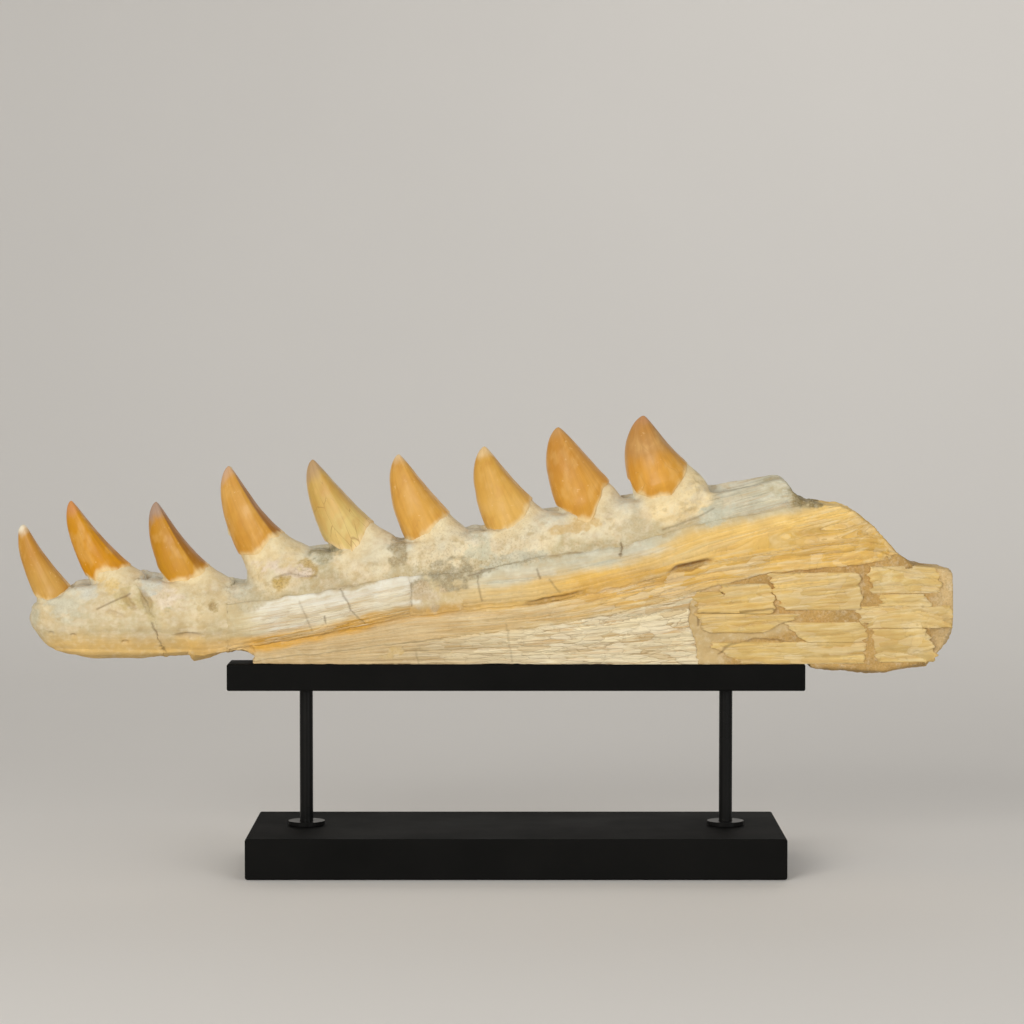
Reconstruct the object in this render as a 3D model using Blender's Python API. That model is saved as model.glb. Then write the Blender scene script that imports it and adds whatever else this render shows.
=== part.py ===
"""Mosasaur lower jaw (left dentary with nine teeth) resting on a museum display stand.

+X runs toward the broken rear end of the jaw, -Y is the outer (lip) side, +Z is up.
The origin is the middle of the underside of the stand's base. Lengths below are millimetres.
"""
import bisect
from math import cos, hypot, pi, sin

import bmesh
import bpy

MM = 0.001              # metres in one millimetre
GAP = 0.3               # clearance left wherever two parts touch

# ---- stand -------------------------------------------------------------------------------
BASE_SIZE = (318.0, 120.0, 24.0)
BASE_BEVEL = 1.2
BEAM_SIZE = (346.0, 30.0, 16.0)
BEAM_BEVEL = 1.0
BEAM_TOP = 122.5
POST_RADIUS = 4.0
POST_X = 126.3
POST_SIDES = 24
COLLAR_RADIUS = 11.0
COLLAR_HEIGHT = 2.5
COLLAR_SIDES = 32

# ---- jaw body: lines along x, each point is (x, value) -------------------------------------
REST_Z = BEAM_TOP + GAP             # flat underside that lies on the beam
STATION_STEP = 22.0                 # spacing of the cross sections
TOP_LINE = (                        # crest of the inner wall, which stands above the outer rim
    (-293, 151), (-290, 158), (-284, 164), (-266, 171.5), (-226, 177.5), (-190, 174),
    (-163, 172), (-150, 181), (-133, 190.8), (-121, 193), (-78, 197.4), (-31, 203.9), (16, 215),
    (64, 223), (100, 228), (113, 230), (118, 229.2), (129, 230.6), (142, 232.4), (153, 234.6), (158, 234.8),
    (161, 232.8), (165, 226.5), (169, 223), (178, 220), (186, 218.4), (193, 218.3), (200, 215.6),
    (206, 211.8), (214, 204.6), (222, 196), (232, 185), (238, 181.8), (254, 179.9), (261, 176.8),
)
BOTTOM_LINE = (
    (-293, 149), (-290, 142), (-285, 134), (-275, 128.7), (-264, 125.4), (-254.5, 123.6),
    (-238, 124.8), (-226, 123.7), (-211, 126), (-196, 126.9), (-194.2, 123.2), (-186, 125),
    (-178, 127.5), (-168, 129.4), (-160.8, 128.9), (-156.8, 127.6), (-156, REST_Z), (173.5, REST_Z),
    (176, 121.8), (181, 120.8), (202, 118.6), (221, 117.4), (226, 119), (235, 121), (246, 122),
    (250, 125.5), (254, 131), (261, 143.5),
)
WIDTH_LINE = (                      # half thickness at the thickest level
    (-293, 3), (-290, 8.5), (-284, 13), (-272, 17.5), (-255, 20), (-210, 21.5),
    (-160, 22), (-60, 23), (40, 24.5), (130, 24.5), (200, 22), (240, 19), (261, 15.5),
)
FOOT_LINE = (                       # half thickness of the underside, as a share of the above
    (-293, 0.45), (-250, 0.5), (-170, 0.55), (-150, 0.66), (170, 0.62), (261, 0.6),
)
KEEL_LINE = (                       # how far the underside is rounded up at its edges
    (-293, 0.5), (-270, 4), (-200, 4), (-168, 2.5), (-155.5, 0), (170, 0), (190, 2), (261, 2.5),
)
SHELF_LINE = (                      # depth of the dental shelf between outer rim and inner wall
    (-293, 0), (-275, 2.5), (-240, 4), (110, 4.5), (150, 2), (165, 0), (261, 0),
)
RIM_DROP = 0.8                      # outer rim below the inner crest, as a share of the shelf
CREST_SHARE = 0.62                  # half thickness at the crest, as a share of the widest
WIDEST_LEVEL = 0.52                 # level of the greatest thickness, as a share of the height
SIDE_LEVELS = (0.07, 0.2, 0.36, 0.52, 0.7, 0.87)
GROOVE_LEVEL = 0.3                  # groove along the inner side, for the splenial's edge
GROOVE_REACH = 0.16
GROOVE_DEPTH = 0.1

# ---- teeth -------------------------------------------------------------------------------
# crown base (x, z), tip (x, z), front swelling, rear swelling, hollowness of the rear edge
TEETH = (
    ((-277.5, 164.5), (-297.0, 205.2), 11.4, 10.3, 1.65),
    ((-242.3, 174.2), (-267.8, 219.6), 13.9, 13.2, 1.8),
    ((-192.8, 171.2), (-216.7, 219.0), 16.6, 14.6, 2.35),
    ((-145.7, 188.0), (-172.9, 240.5), 18.7, 15.8, 2.6),
    ((-94.4, 194.9), (-122.5, 244.4), 17.1, 15.7, 1.55),
    ((-47.7, 199.8), (-70.8, 247.6), 18.1, 15.2, 1.45),
    ((-1.2, 208.2), (-19.3, 252.3), 17.2, 18.4, 1.6),
    ((43.9, 219.3), (25.0, 263.8), 18.6, 17.9, 1.2),
    ((90.1, 230.7), (76.1, 270.8), 20.8, 19.4, 1.6),
)
CROWN_LEVELS = (0.0, 0.14, 0.29, 0.44, 0.58, 0.71, 0.82, 0.91, 0.97)
FRONT_POWERS = (2.4, 0.6)           # the front edge bulges: (1 - t^2.4)^0.6
CROWN_DEPTH = 0.74                  # half depth of a crown, as a share of its half length
TIP_INWARD = 2.5                    # how far a tip leans toward the inner side
TOOTH_SIDES = 12
ROOT_RINGS = (                      # distance below the crown, swelling along x, along y
    (5.0, 1.03, 1.12), (12.0, 1.1, 1.38), (21.0, 1.12, 1.5), (30.0, 0.95, 1.3),
)
ROOT_UPRIGHT = 0.55                 # share of the crown's lean that a root loses

# ---- natural breaks, as lines in the x-z plane that start and end outside the part they cut ----
SANDY_CRACK = ((-223, 190), (-224, 178), (-226, 169), (-215, 149.5), (-210.5, 128), (-209, 110))
FRONT_JOIN = ((-172.5, 182), (-172, 165), (-172, 110))
UPPER_SEAM = (
    (-185, 156.5), (-149, 161), (-105, 167.5), (-69, 175), (-33, 176.8), (14, 185.3),
    (62, 192.6), (91, 201.5), (119, 208.2), (146, 212.8), (175, 218.5), (190, 229),
)
LOWER_SEAM = (
    (-185, 129.5), (-129, 139), (-63, 152.5), (10, 159.7), (39, 165), (93, 178.2),
    (115, 184), (160, 191.5), (196, 196.5), (212, 201), (240, 208),
)
SLAB_SEAM = (                       # ends as the crest of the rear matrix
    (-190, 117), (-150, 126), (-110, 130.5), (-51, 138), (26, 147.5), (80, 159), (116, 170),
    (152, 178.5), (204, 182.8), (232, 187.5), (248, 205),
)
TOOTH_ROW_JOIN = ((-25.5, 216), (-26, 198), (-33.5, 186), (-35, 160))
PATCH_FRONT = ((-63, 190), (-63, 140))
PATCH_REAR = ((-36, 190), (-38, 168), (-31, 162), (-34, 140))
REAR_EDGE = ((122, 185), (104, 160), (102, 150), (107, 136), (112, 110))

# ---- bone plates set in the rear matrix ------------------------------------------------------
# x from, x to, z from, z to, slant of the left end, slant of the right end
PLATES = (
    (107.7, 130.5, 154.3, 165.8, 2.0, 7.0),
    (124.6, 151.4, 154.0, 170.8, 7.0, 0.5),
    (153.2, 204.0, 156.2, 177.2, 5.0, 1.0),
    (110.0, 163.0, 142.6, 152.6, 4.0, -14.0),
    (164.5, 206.4, 136.4, 147.4, 7.0, 1.0),
    (120.6, 207.2, 123.6, 135.6, 12.0, 1.0),
    (211.2, 252.6, 165.8, 180.6, 2.0, -2.0),
    (218.0, 245.0, 157.9, 164.2, 1.5, 3.0),
    (205.4, 259.6, 145.2, 156.8, 3.0, 1.5),
    (213.6, 249.2, 124.4, 143.4, 3.0, 4.0),
)
PLATE_BACK_Y = -8.0                 # plane that the plates' backs lie on
PLATE_STAND = 2.4                   # how far the matrix lies back from the plates' faces

# ---- splenial, the long thin bone on the inner side ------------------------------------------
SPLENIAL_OUTLINE = (
    (-128, 140), (-90, 149), (-20, 161), (60, 172), (140, 180), (205, 183), (246, 170),
    (250, 148), (225, 130), (140, 127), (40, 128), (-60, 131),
)
SPLENIAL_INNER_Y = 14.0

# ---- colours: (red, green, blue), roughness, metallic ------------------------------------------
BONE = ((0.70, 0.58, 0.38), 0.75, 0.0)
GOLD_BONE = ((0.64, 0.42, 0.15), 0.7, 0.0)
PALE_BONE = ((0.76, 0.66, 0.48), 0.78, 0.0)
MATRIX = ((0.42, 0.34, 0.21), 0.95, 0.0)
BLACK = ((0.012, 0.012, 0.011), 0.38, 0.0)


def value_at(line, x):
    """Read a line of (x, value) points at x, straight between its points."""
    places = [point[0] for point in line]
    index = min(max(bisect.bisect_right(places, x), 1), len(line) - 1)
    (x0, v0), (x1, v1) = line[index - 1], line[index]
    share = min(max((x - x0) / (x1 - x0), 0.0), 1.0)
    return v0 + (v1 - v0) * share


def material(name, look):
    """Make a Principled material from a colour, a roughness and a metallic value."""
    colour, roughness, metallic = look
    made = bpy.data.materials.new(name)
    made.use_nodes = True
    shader = made.node_tree.nodes["Principled BSDF"]
    shader.inputs["Base Color"].default_value = (*colour, 1.0)
    shader.inputs["Roughness"].default_value = roughness
    shader.inputs["Metallic"].default_value = metallic
    made.diffuse_color = (*colour, 1.0)
    return made


def new_object(name, form, look=None):
    """Turn a bmesh whose lengths are millimetres into an object in metres."""
    bmesh.ops.scale(form, vec=(MM, MM, MM), verts=form.verts)
    bmesh.ops.recalc_face_normals(form, faces=form.faces)
    mesh = bpy.data.meshes.new(name)
    form.to_mesh(mesh)
    form.free()
    made = bpy.data.objects.new(name, mesh)
    bpy.context.collection.objects.link(made)
    if look is not None:
        mesh.materials.append(look)
    return made


def skin_rings(form, rings):
    """Join closed rings of points into a tube and close both of its ends."""
    loops = [[form.verts.new(point) for point in ring] for ring in rings]
    count = len(loops[0])
    for near, far in zip(loops, loops[1:]):
        for k in range(count):
            form.faces.new((near[k], near[(k + 1) % count], far[(k + 1) % count], far[k]))
    form.faces.new(loops[0])
    form.faces.new(loops[-1])


def side_share(level, foot):
    """Half thickness at a level of the wall, as a share of the greatest one."""
    if level < WIDEST_LEVEL:
        return foot + (1.0 - foot) * sin(0.5 * pi * level / WIDEST_LEVEL)
    above = (level - WIDEST_LEVEL) / (1.0 - WIDEST_LEVEL)
    return 1.0 - (1.0 - CREST_SHARE) * above ** 2


def jaw_section(x):
    """Cross section of the jaw at x: keel, outer wall, rim, shelf, crest and inner wall."""
    low = value_at(BOTTOM_LINE, x)
    crest = value_at(TOP_LINE, x)
    half = value_at(WIDTH_LINE, x)
    foot = value_at(FOOT_LINE, x)
    keel = value_at(KEEL_LINE, x)
    shelf = value_at(SHELF_LINE, x)
    rim = crest - shelf * RIM_DROP - 1.0
    ring = [(x, 0.0, low), (x, -foot * half, low + keel)]
    for level in SIDE_LEVELS:
        ring.append((x, -half * side_share(level, foot), low + keel + (rim - low - keel) * level))
    ring.append((x, -half * CREST_SHARE, rim - 0.5))
    ring.append((x, -half * CREST_SHARE * 0.72, rim))
    ring.append((x, -half * 0.1, rim - shelf))
    ring.append((x, half * 0.3, rim - shelf * 0.9))
    ring.append((x, half * CREST_SHARE * 0.8, crest))
    ring.append((x, half * CREST_SHARE, crest - 1.0))
    for level in reversed(SIDE_LEVELS):
        groove = max(0.0, 1.0 - abs(level - GROOVE_LEVEL) / GROOVE_REACH) * GROOVE_DEPTH
        share = side_share(level, foot) * (1.0 - groove)
        ring.append((x, half * share, low + keel + (crest - low - keel) * level))
    ring.append((x, foot * half, low + keel))
    return ring


def stations():
    """Places of the cross sections: an even spacing and every corner of the outlines."""
    corners = {float(x) for line in (TOP_LINE, BOTTOM_LINE, WIDTH_LINE) for x, _ in line}
    places = sorted(corners)
    spaced = []
    for near, far in zip(places, places[1:]):
        parts = max(1, round((far - near) / STATION_STEP))
        spaced.extend(near + (far - near) * k / parts for k in range(parts))
    spaced.append(places[-1])
    return spaced


def jaw_body(name):
    """Loft the jaw without its teeth."""
    form = bmesh.new()
    skin_rings(form, [jaw_section(x) for x in stations()])
    return new_object(name, form)


def matrix_section(x):
    """Section at x of all that lies behind the matrix's outer face."""
    low = value_at(BOTTOM_LINE, x)
    crest = value_at(TOP_LINE, x)
    half = value_at(WIDTH_LINE, x)
    foot = value_at(FOOT_LINE, x)
    ring = [(x, 60.0, low - 20.0), (x, PLATE_STAND - foot * half, low - 20.0)]
    for level in SIDE_LEVELS:
        ring.append((x, PLATE_STAND - half * side_share(level, foot), low + (crest - low) * level))
    ring.append((x, PLATE_STAND - half * CREST_SHARE, crest + 20.0))
    ring.append((x, 60.0, crest + 20.0))
    return ring


def tooth_ring(middle, along, front, rear, depth, inward):
    """One ring of a tooth: an oval whose front and rear halves differ in length."""
    ring = []
    for k in range(TOOTH_SIDES):
        angle = 2.0 * pi * k / TOOTH_SIDES
        reach = (rear if cos(angle) > 0.0 else front) * cos(angle)
        x = middle[0] + along[0] * reach
        z = middle[1] + along[1] * reach
        ring.append((x, inward + depth * sin(angle), z))
    return ring


def tooth(index, base, tip, front, rear, hollow):
    """Loft one tooth from the end of its root to the tip of its crown."""
    length = hypot(tip[0] - base[0], tip[1] - base[1])
    up = ((tip[0] - base[0]) / length, (tip[1] - base[1]) / length)
    along = (up[1], -up[0])
    down = (-up[0] * (1.0 - ROOT_UPRIGHT), -1.0)
    half_depth = CROWN_DEPTH * 0.5 * (front + rear)
    rings = []
    for below, swell_x, swell_y in reversed(ROOT_RINGS):
        middle = (base[0] + down[0] * below, base[1] + down[1] * below)
        rings.append(tooth_ring(middle, along, front * swell_x, rear * swell_x, half_depth * swell_y, 0.0))
    for t in CROWN_LEVELS:
        middle = (base[0] + up[0] * length * t, base[1] + up[1] * length * t)
        bulge = (1.0 - t ** FRONT_POWERS[0]) ** FRONT_POWERS[1]
        slope = 0.8 * (1.0 - t) ** hollow + 0.2 * (1.0 - t ** 4) ** 0.5
        depth = half_depth * (1.0 - t ** 2) ** 0.75
        rings.append(tooth_ring(middle, along, front * bulge, rear * slope, depth, TIP_INWARD * t * t))
    form = bmesh.new()
    skin_rings(form, rings)
    form.verts.ensure_lookup_table()
    last = form.verts[-TOOTH_SIDES:]
    cap = [face for face in last[0].link_faces if len(face.verts) == TOOTH_SIDES]
    point = bmesh.ops.poke(form, faces=cap)["verts"][0]
    point.co = (tip[0], TIP_INWARD, tip[1])
    return new_object(f"tooth_{index}", form)


def offset_line(points, distance, closed):
    """Move a line sideways by a distance, keeping its corners mitred."""
    count = len(points)
    moved = []
    for k in range(count):
        before = points[k - 1] if closed or k > 0 else points[k]
        after = points[(k + 1) % count] if closed or k < count - 1 else points[k]
        here = points[k]
        normals = []
        for start, end in ((before, here), (here, after)):
            run = hypot(end[0] - start[0], end[1] - start[1])
            if run > 0.0:
                normals.append(((start[1] - end[1]) / run, (end[0] - start[0]) / run))
        sum_x = sum(normal[0] for normal in normals)
        sum_z = sum(normal[1] for normal in normals)
        share = 2.0 / (sum_x ** 2 + sum_z ** 2) if len(normals) == 2 else 1.0
        moved.append((here[0] + sum_x * distance * share, here[1] + sum_z * distance * share))
    return moved


def prism(name, outline, y_from, y_to):
    """Extrude a closed x-z outline between two y planes."""
    form = bmesh.new()
    near = [form.verts.new((x, y_from, z)) for x, z in outline]
    far = [form.verts.new((x, y_to, z)) for x, z in outline]
    count = len(outline)
    form.faces.new(near)
    form.faces.new(far)
    for k in range(count):
        form.faces.new((near[k], near[(k + 1) % count], far[(k + 1) % count], far[k]))
    return new_object(name, form)


def ribbon(name, line):
    """A thin sheet along a break, as thick as the gap, through the whole jaw."""
    left = offset_line(line, 0.5 * GAP, closed=False)
    right = offset_line(line, -0.5 * GAP, closed=False)
    return prism(name, left + right[::-1], -60.0, 60.0)


def combine(target, tool, operation):
    """Apply an exact Boolean to the target and remove the tool."""
    step = target.modifiers.new(operation.title(), "BOOLEAN")
    step.operation = operation
    step.solver = "EXACT"
    step.object = tool
    depsgraph = bpy.context.evaluated_depsgraph_get()
    result = bpy.data.meshes.new_from_object(target.evaluated_get(depsgraph))
    target.modifiers.clear()
    target.data = result
    bpy.data.objects.remove(tool, do_unlink=True)


def duplicate(source, name):
    """Copy an object together with its mesh."""
    made = bpy.data.objects.new(name, source.data.copy())
    bpy.context.collection.objects.link(made)
    return made


def islands(form):
    """List the sets of faces that hang together."""
    left = set(form.faces)
    found = []
    while left:
        seed = left.pop()
        group = {seed}
        front = [seed]
        while front:
            face = front.pop()
            for edge in face.edges:
                for other in edge.link_faces:
                    if other in left:
                        left.discard(other)
                        group.add(other)
                        front.append(other)
        found.append(group)
    return found


def left_of_line(line, x, z):
    """Signed distance of a point from the nearest stretch of a line, positive on its left."""
    nearest = None
    for (x0, z0), (x1, z1) in zip(line, line[1:]):
        run = hypot(x1 - x0, z1 - z0)
        along = ((x - x0) * (x1 - x0) + (z - z0) * (z1 - z0)) / run
        across = ((x1 - x0) * (z - z0) - (z1 - z0) * (x - x0)) / run
        beyond = max(-along, along - run, 0.0)
        distance = hypot(across, beyond)
        if nearest is None or distance < abs(nearest):
            nearest = distance if across > 0.0 else -distance
    return nearest


def part_along(piece, line, right_name, left_name):
    """Cut a piece along a line and name the halves by the side of the line they lie on."""
    combine(piece, ribbon("break", line), "DIFFERENCE")
    form = bmesh.new()
    form.from_mesh(piece.data)
    bpy.data.objects.remove(piece, do_unlink=True)
    halves = {}
    for group in islands(form):
        corners = {vert for face in group for vert in face.verts}
        side = sum(left_of_line(line, vert.co.x / MM, vert.co.z / MM) for vert in corners)
        name = left_name if side > 0.0 else right_name
        half = bmesh.new()
        copies = {vert: half.verts.new(vert.co / MM) for vert in corners}
        for face in group:
            half.faces.new([copies[vert] for vert in face.verts])
        halves[name] = new_object(name, half)
    form.free()
    return halves[right_name], halves[left_name]


def finish_facets(made):
    """Smooth the gentle corners of a part and keep its breaks sharp."""
    made.data.shade_smooth()
    made.data.set_sharp_from_angle(angle=0.6)


def plate_outline(x_from, x_to, z_from, z_to, slant_left, slant_right):
    """Outline of a bone plate: four sides with blunt corners and slanting ends."""
    blunt = 0.22 * (z_to - z_from)
    return [
        (x_from + max(slant_left, 0.0) + blunt, z_from),
        (x_to - max(-slant_right, 0.0) - blunt, z_from),
        (x_to - max(-slant_right, 0.0), z_from + blunt),
        (x_to - max(slant_right, 0.0), z_to - blunt),
        (x_to - max(slant_right, 0.0) - blunt, z_to),
        (x_from + max(-slant_left, 0.0) + blunt, z_to),
        (x_from + max(-slant_left, 0.0), z_to - blunt),
        (x_from + max(slant_left, 0.0), z_from + blunt),
    ]


def part_jaw(whole):
    """Part the whole jaw at its natural breaks, from the largest pieces to the smallest."""
    jaw_tip, behind = part_along(whole, SANDY_CRACK, "jaw_tip", "behind_crack")
    jaw_front, behind = part_along(behind, FRONT_JOIN, "jaw_front", "behind_join")
    walls, rows = part_along(behind, UPPER_SEAM, "walls", "tooth_rows")
    row_front, row_rear = part_along(rows, TOOTH_ROW_JOIN, "tooth_row_front", "tooth_row_rear")
    under, wall = part_along(walls, LOWER_SEAM, "under", "wall")
    slab_front, wall = part_along(wall, PATCH_FRONT, "outer_slab_front", "wall_rear")
    patch, slab_rear = part_along(wall, PATCH_REAR, "matrix_patch", "outer_slab_rear")
    foot, band = part_along(under, SLAB_SEAM, "foot", "lower_band")
    slab, rear = part_along(foot, REAR_EDGE, "lower_slab", "rear_matrix")
    return {
        "bone": (jaw_tip, jaw_front, row_front, row_rear),
        "pale_bone": (slab_front, slab),
        "gold_bone": (slab_rear, band),
        "matrix": (patch, rear),
    }


def build_jaw():
    """Model the jaw whole, set the splenial and the plates into it and part it at its breaks."""
    looks = {
        "bone": material("bone", BONE), "gold_bone": material("gold_bone", GOLD_BONE),
        "pale_bone": material("pale_bone", PALE_BONE), "matrix": material("matrix", MATRIX),
    }
    whole = jaw_body("jaw")
    for index, sizes in enumerate(TEETH, start=1):
        combine(whole, tooth(index, *sizes), "UNION")

    splenial = duplicate(whole, "splenial")
    combine(splenial, prism("splenial_cut", SPLENIAL_OUTLINE, SPLENIAL_INNER_Y, 60.0), "INTERSECT")
    pocket = offset_line(SPLENIAL_OUTLINE, GAP, closed=True)
    combine(whole, prism("splenial_pocket", pocket, SPLENIAL_INNER_Y - GAP, 60.0), "DIFFERENCE")

    plates = []
    for number, sizes in enumerate(PLATES, start=1):
        plate = duplicate(whole, f"bone_plate_{number}")
        combine(plate, prism("plate_cut", plate_outline(*sizes), -60.0, PLATE_BACK_Y), "INTERSECT")
        plates.append(plate)

    parts = part_jaw(whole)
    rear = parts["matrix"][-1]
    form = bmesh.new()
    skin_rings(form, [matrix_section(x) for x in range(90, 285, 15)])
    combine(rear, new_object("matrix_face", form), "INTERSECT")
    for sizes in PLATES:
        outline = offset_line(plate_outline(*sizes), -GAP, closed=True)
        combine(rear, prism("plate_pocket", outline, -60.0, PLATE_BACK_Y + GAP), "DIFFERENCE")

    parts["bone"] = (*parts["bone"], splenial)
    parts["pale_bone"] = (*parts["pale_bone"], *plates)
    for slot, pieces in parts.items():
        for piece in pieces:
            piece.data.materials.clear()
            piece.data.materials.append(looks[slot])
            finish_facets(piece)


def block(name, size, middle, bevel, look):
    """A box with softened edges."""
    form = bmesh.new()
    bmesh.ops.create_cube(form, size=1.0)
    bmesh.ops.scale(form, vec=size, verts=form.verts)
    bmesh.ops.bevel(form, geom=form.edges[:], offset=bevel, segments=2, profile=0.5, affect="EDGES")
    bmesh.ops.translate(form, vec=middle, verts=form.verts)
    made = new_object(name, form, look)
    finish_facets(made)
    return made


def round_bar(name, radius, sides, x, z_from, z_to, look=None):
    """An upright round bar."""
    form = bmesh.new()
    ring = [(radius * cos(2 * pi * k / sides), radius * sin(2 * pi * k / sides)) for k in range(sides)]
    skin_rings(form, [[(x + px, py, z) for px, py in ring] for z in (z_from, z_to)])
    return new_object(name, form, look)


def build_stand():
    """Base, two posts with collars, and the beam that carries the jaw."""
    black = material("stand", BLACK)
    base_top = BASE_SIZE[2]
    block("stand_base", BASE_SIZE, (0.0, 0.0, 0.5 * base_top), BASE_BEVEL, black)
    beam_middle = (0.0, 0.0, BEAM_TOP - 0.5 * BEAM_SIZE[2])
    block("stand_beam", BEAM_SIZE, beam_middle, BEAM_BEVEL, black)
    post_top = BEAM_TOP - BEAM_SIZE[2] - GAP
    for side, x in (("left", -POST_X), ("right", POST_X)):
        post = round_bar(f"stand_post_{side}", POST_RADIUS, POST_SIDES, x, base_top + GAP, post_top, black)
        finish_facets(post)
        top = base_top + GAP + COLLAR_HEIGHT
        name = f"stand_collar_{side}"
        collar = round_bar(name, COLLAR_RADIUS, COLLAR_SIDES, x, base_top + GAP, top, black)
        hole = round_bar("hole", POST_RADIUS + GAP, POST_SIDES, x, base_top - 5.0, top + 5.0)
        combine(collar, hole, "DIFFERENCE")
        finish_facets(collar)


def main():
    for old in list(bpy.data.objects):
        bpy.data.objects.remove(old, do_unlink=True)
    build_jaw()
    build_stand()


main()
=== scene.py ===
"""Finish of the mosasaur jaw fossil and its display stand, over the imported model's frame.

Lengths named below are millimetres in the frame's axes: +X toward the jaw's broken rear end,
-Y toward the viewer and the jaw's outer side, +Z up.
"""
from functools import partial
from math import atan, hypot, pi, radians
from types import SimpleNamespace

import bpy
import numpy as np
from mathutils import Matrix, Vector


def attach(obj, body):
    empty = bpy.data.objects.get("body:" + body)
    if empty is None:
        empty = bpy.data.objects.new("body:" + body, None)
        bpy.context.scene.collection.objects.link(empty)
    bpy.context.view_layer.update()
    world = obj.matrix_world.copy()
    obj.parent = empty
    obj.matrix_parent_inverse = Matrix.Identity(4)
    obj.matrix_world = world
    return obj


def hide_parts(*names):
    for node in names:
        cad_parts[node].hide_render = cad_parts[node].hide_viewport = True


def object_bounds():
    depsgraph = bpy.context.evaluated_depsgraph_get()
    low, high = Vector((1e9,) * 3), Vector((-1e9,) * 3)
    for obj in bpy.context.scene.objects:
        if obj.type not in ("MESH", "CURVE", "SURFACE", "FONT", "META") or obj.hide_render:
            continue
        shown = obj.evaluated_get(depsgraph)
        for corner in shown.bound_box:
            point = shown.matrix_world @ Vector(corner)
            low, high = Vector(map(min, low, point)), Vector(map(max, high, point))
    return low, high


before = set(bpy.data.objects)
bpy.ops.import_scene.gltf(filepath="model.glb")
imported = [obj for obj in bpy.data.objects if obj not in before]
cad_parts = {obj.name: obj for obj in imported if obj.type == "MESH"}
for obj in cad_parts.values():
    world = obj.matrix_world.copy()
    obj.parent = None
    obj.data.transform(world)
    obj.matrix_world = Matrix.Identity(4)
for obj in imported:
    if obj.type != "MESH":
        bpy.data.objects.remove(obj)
cad_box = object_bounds()

MM = 0.001

# ---- camera: the photograph's viewpoint ----
CAMERA_PLACE = (-2.4, -2000, 308)
CAMERA_PITCH = 2.72                 # degrees below the horizon
CAMERA_LENS = 117.2                 # millimetres on a 36 mm sensor

# ---- jaw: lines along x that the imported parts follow, points are (x, z) ----
UPPER_SEAM = (
    (-185, 156.5), (-149, 161), (-105, 167.5), (-69, 175), (-33, 176.8), (14, 185.3),
    (62, 192.6), (91, 201.5), (119, 208.2), (146, 212.8), (175, 218.5), (190, 229),
)
LOWER_SEAM = (
    (-185, 129.5), (-129, 139), (-63, 152.5), (10, 159.7), (39, 165), (93, 178.2),
    (115, 184), (160, 191.5), (196, 196.5), (212, 201), (240, 208),
)
SLAB_SEAM = (
    (-190, 117), (-150, 126), (-110, 130.5), (-51, 138), (26, 147.5), (80, 159), (116, 170),
    (152, 178.5), (204, 182.8), (232, 187.5), (248, 205),
)
SEAMS = (UPPER_SEAM, LOWER_SEAM, SLAB_SEAM)
BEAM_TOP = 122.5
JOIN_X = -172

# ---- teeth: crown base (x, z), tip (x, z), front swelling, rear swelling, hollowness ----
TEETH = (
    ((-277.5, 164.5), (-297, 205.2), 11.4, 10.3, 1.65),
    ((-242.3, 174.2), (-267.8, 219.6), 13.9, 13.2, 1.8),
    ((-192.8, 171.2), (-216.7, 219), 16.6, 14.6, 2.35),
    ((-145.7, 188), (-172.9, 240.5), 18.7, 15.8, 2.6),
    ((-94.4, 194.9), (-122.5, 244.4), 17.1, 15.7, 1.55),
    ((-47.7, 199.8), (-70.8, 247.6), 18.1, 15.2, 1.45),
    ((-1.2, 208.2), (-19.3, 252.3), 17.2, 18.4, 1.6),
    ((43.9, 219.3), (25, 263.8), 18.6, 17.9, 1.2),
    ((90.1, 230.7), (76.1, 270.8), 20.8, 19.4, 1.6),
)
CROWN_DEPTH = 0.74
TIP_INWARD = 2.5

# ---- colours, as (red, green, blue) of 0 to 255 on screen ----
WHITE_BONE = (232, 230, 217)
BLUE_BONE = (200, 200, 182)
GOLD = (232, 187, 94)
PALE_GOLD = (222, 196, 144)
PALE_SLAB = (236, 221, 184)
GREY_MATRIX = (192, 177, 142)
OCHRE = (222, 168, 68)
# brown of the cracks, also laid on as painted shadow lines
CRACK_AND_SHADOW_BROWN = (104, 80, 48)
# painted shade in the hollows
HOLLOW_SHADE = (118, 78, 34)


def linear(colour):
    """Turn an on-screen colour into the shader's linear values."""
    shares = [channel / 255 for channel in colour]
    return tuple(s / 12.92 if s <= 0.04045 else ((s + 0.055) / 1.055) ** 2.4 for s in shares)


# ---- fields, worked out for many points at once ----
LATTICE = 32


def noise(points, cell, seed):
    """Smooth random values from -1 to 1, with cells of the given sizes."""
    table = np.random.default_rng(seed).random((LATTICE, LATTICE, LATTICE)) * 2 - 1
    scaled = points / np.asarray(cell, dtype=float)
    floor = np.floor(scaled).astype(np.int64)
    part = scaled - floor
    part = part * part * part * (part * (part * 6 - 15) + 10)
    total = np.zeros(len(points))
    for corner in range(8):
        step = np.array([corner & 1, corner >> 1 & 1, corner >> 2 & 1])
        index = (floor + step) % LATTICE
        share = np.prod(np.where(step, part, 1 - part), axis=1)
        total += share * table[index[:, 0], index[:, 1], index[:, 2]]
    return total


def layered(points, cell, seed, layers=3):
    """Noise with finer layers added, each half the size and half the strength."""
    cell = np.asarray(cell, dtype=float)
    total = np.zeros(len(points))
    for k in range(layers):
        total += noise(points, cell / 2 ** k, seed + k) * 0.5 ** k
    return total / (2 - 0.5 ** (layers - 1))


def ramp(values, low, high):
    """0 below low, 1 above high and a smooth step between them."""
    share = np.clip((values - low) / (high - low), 0, 1)
    return share * share * (3 - 2 * share)


def height_of(line, x):
    """Height at x of a broken line of points."""
    return np.interp(x, [point[0] for point in line], [point[1] for point in line])


def full_turn(sides):
    """Angles of the points round a closed ring."""
    return np.linspace(0, 2 * pi, sides, endpoint=False)


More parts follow.
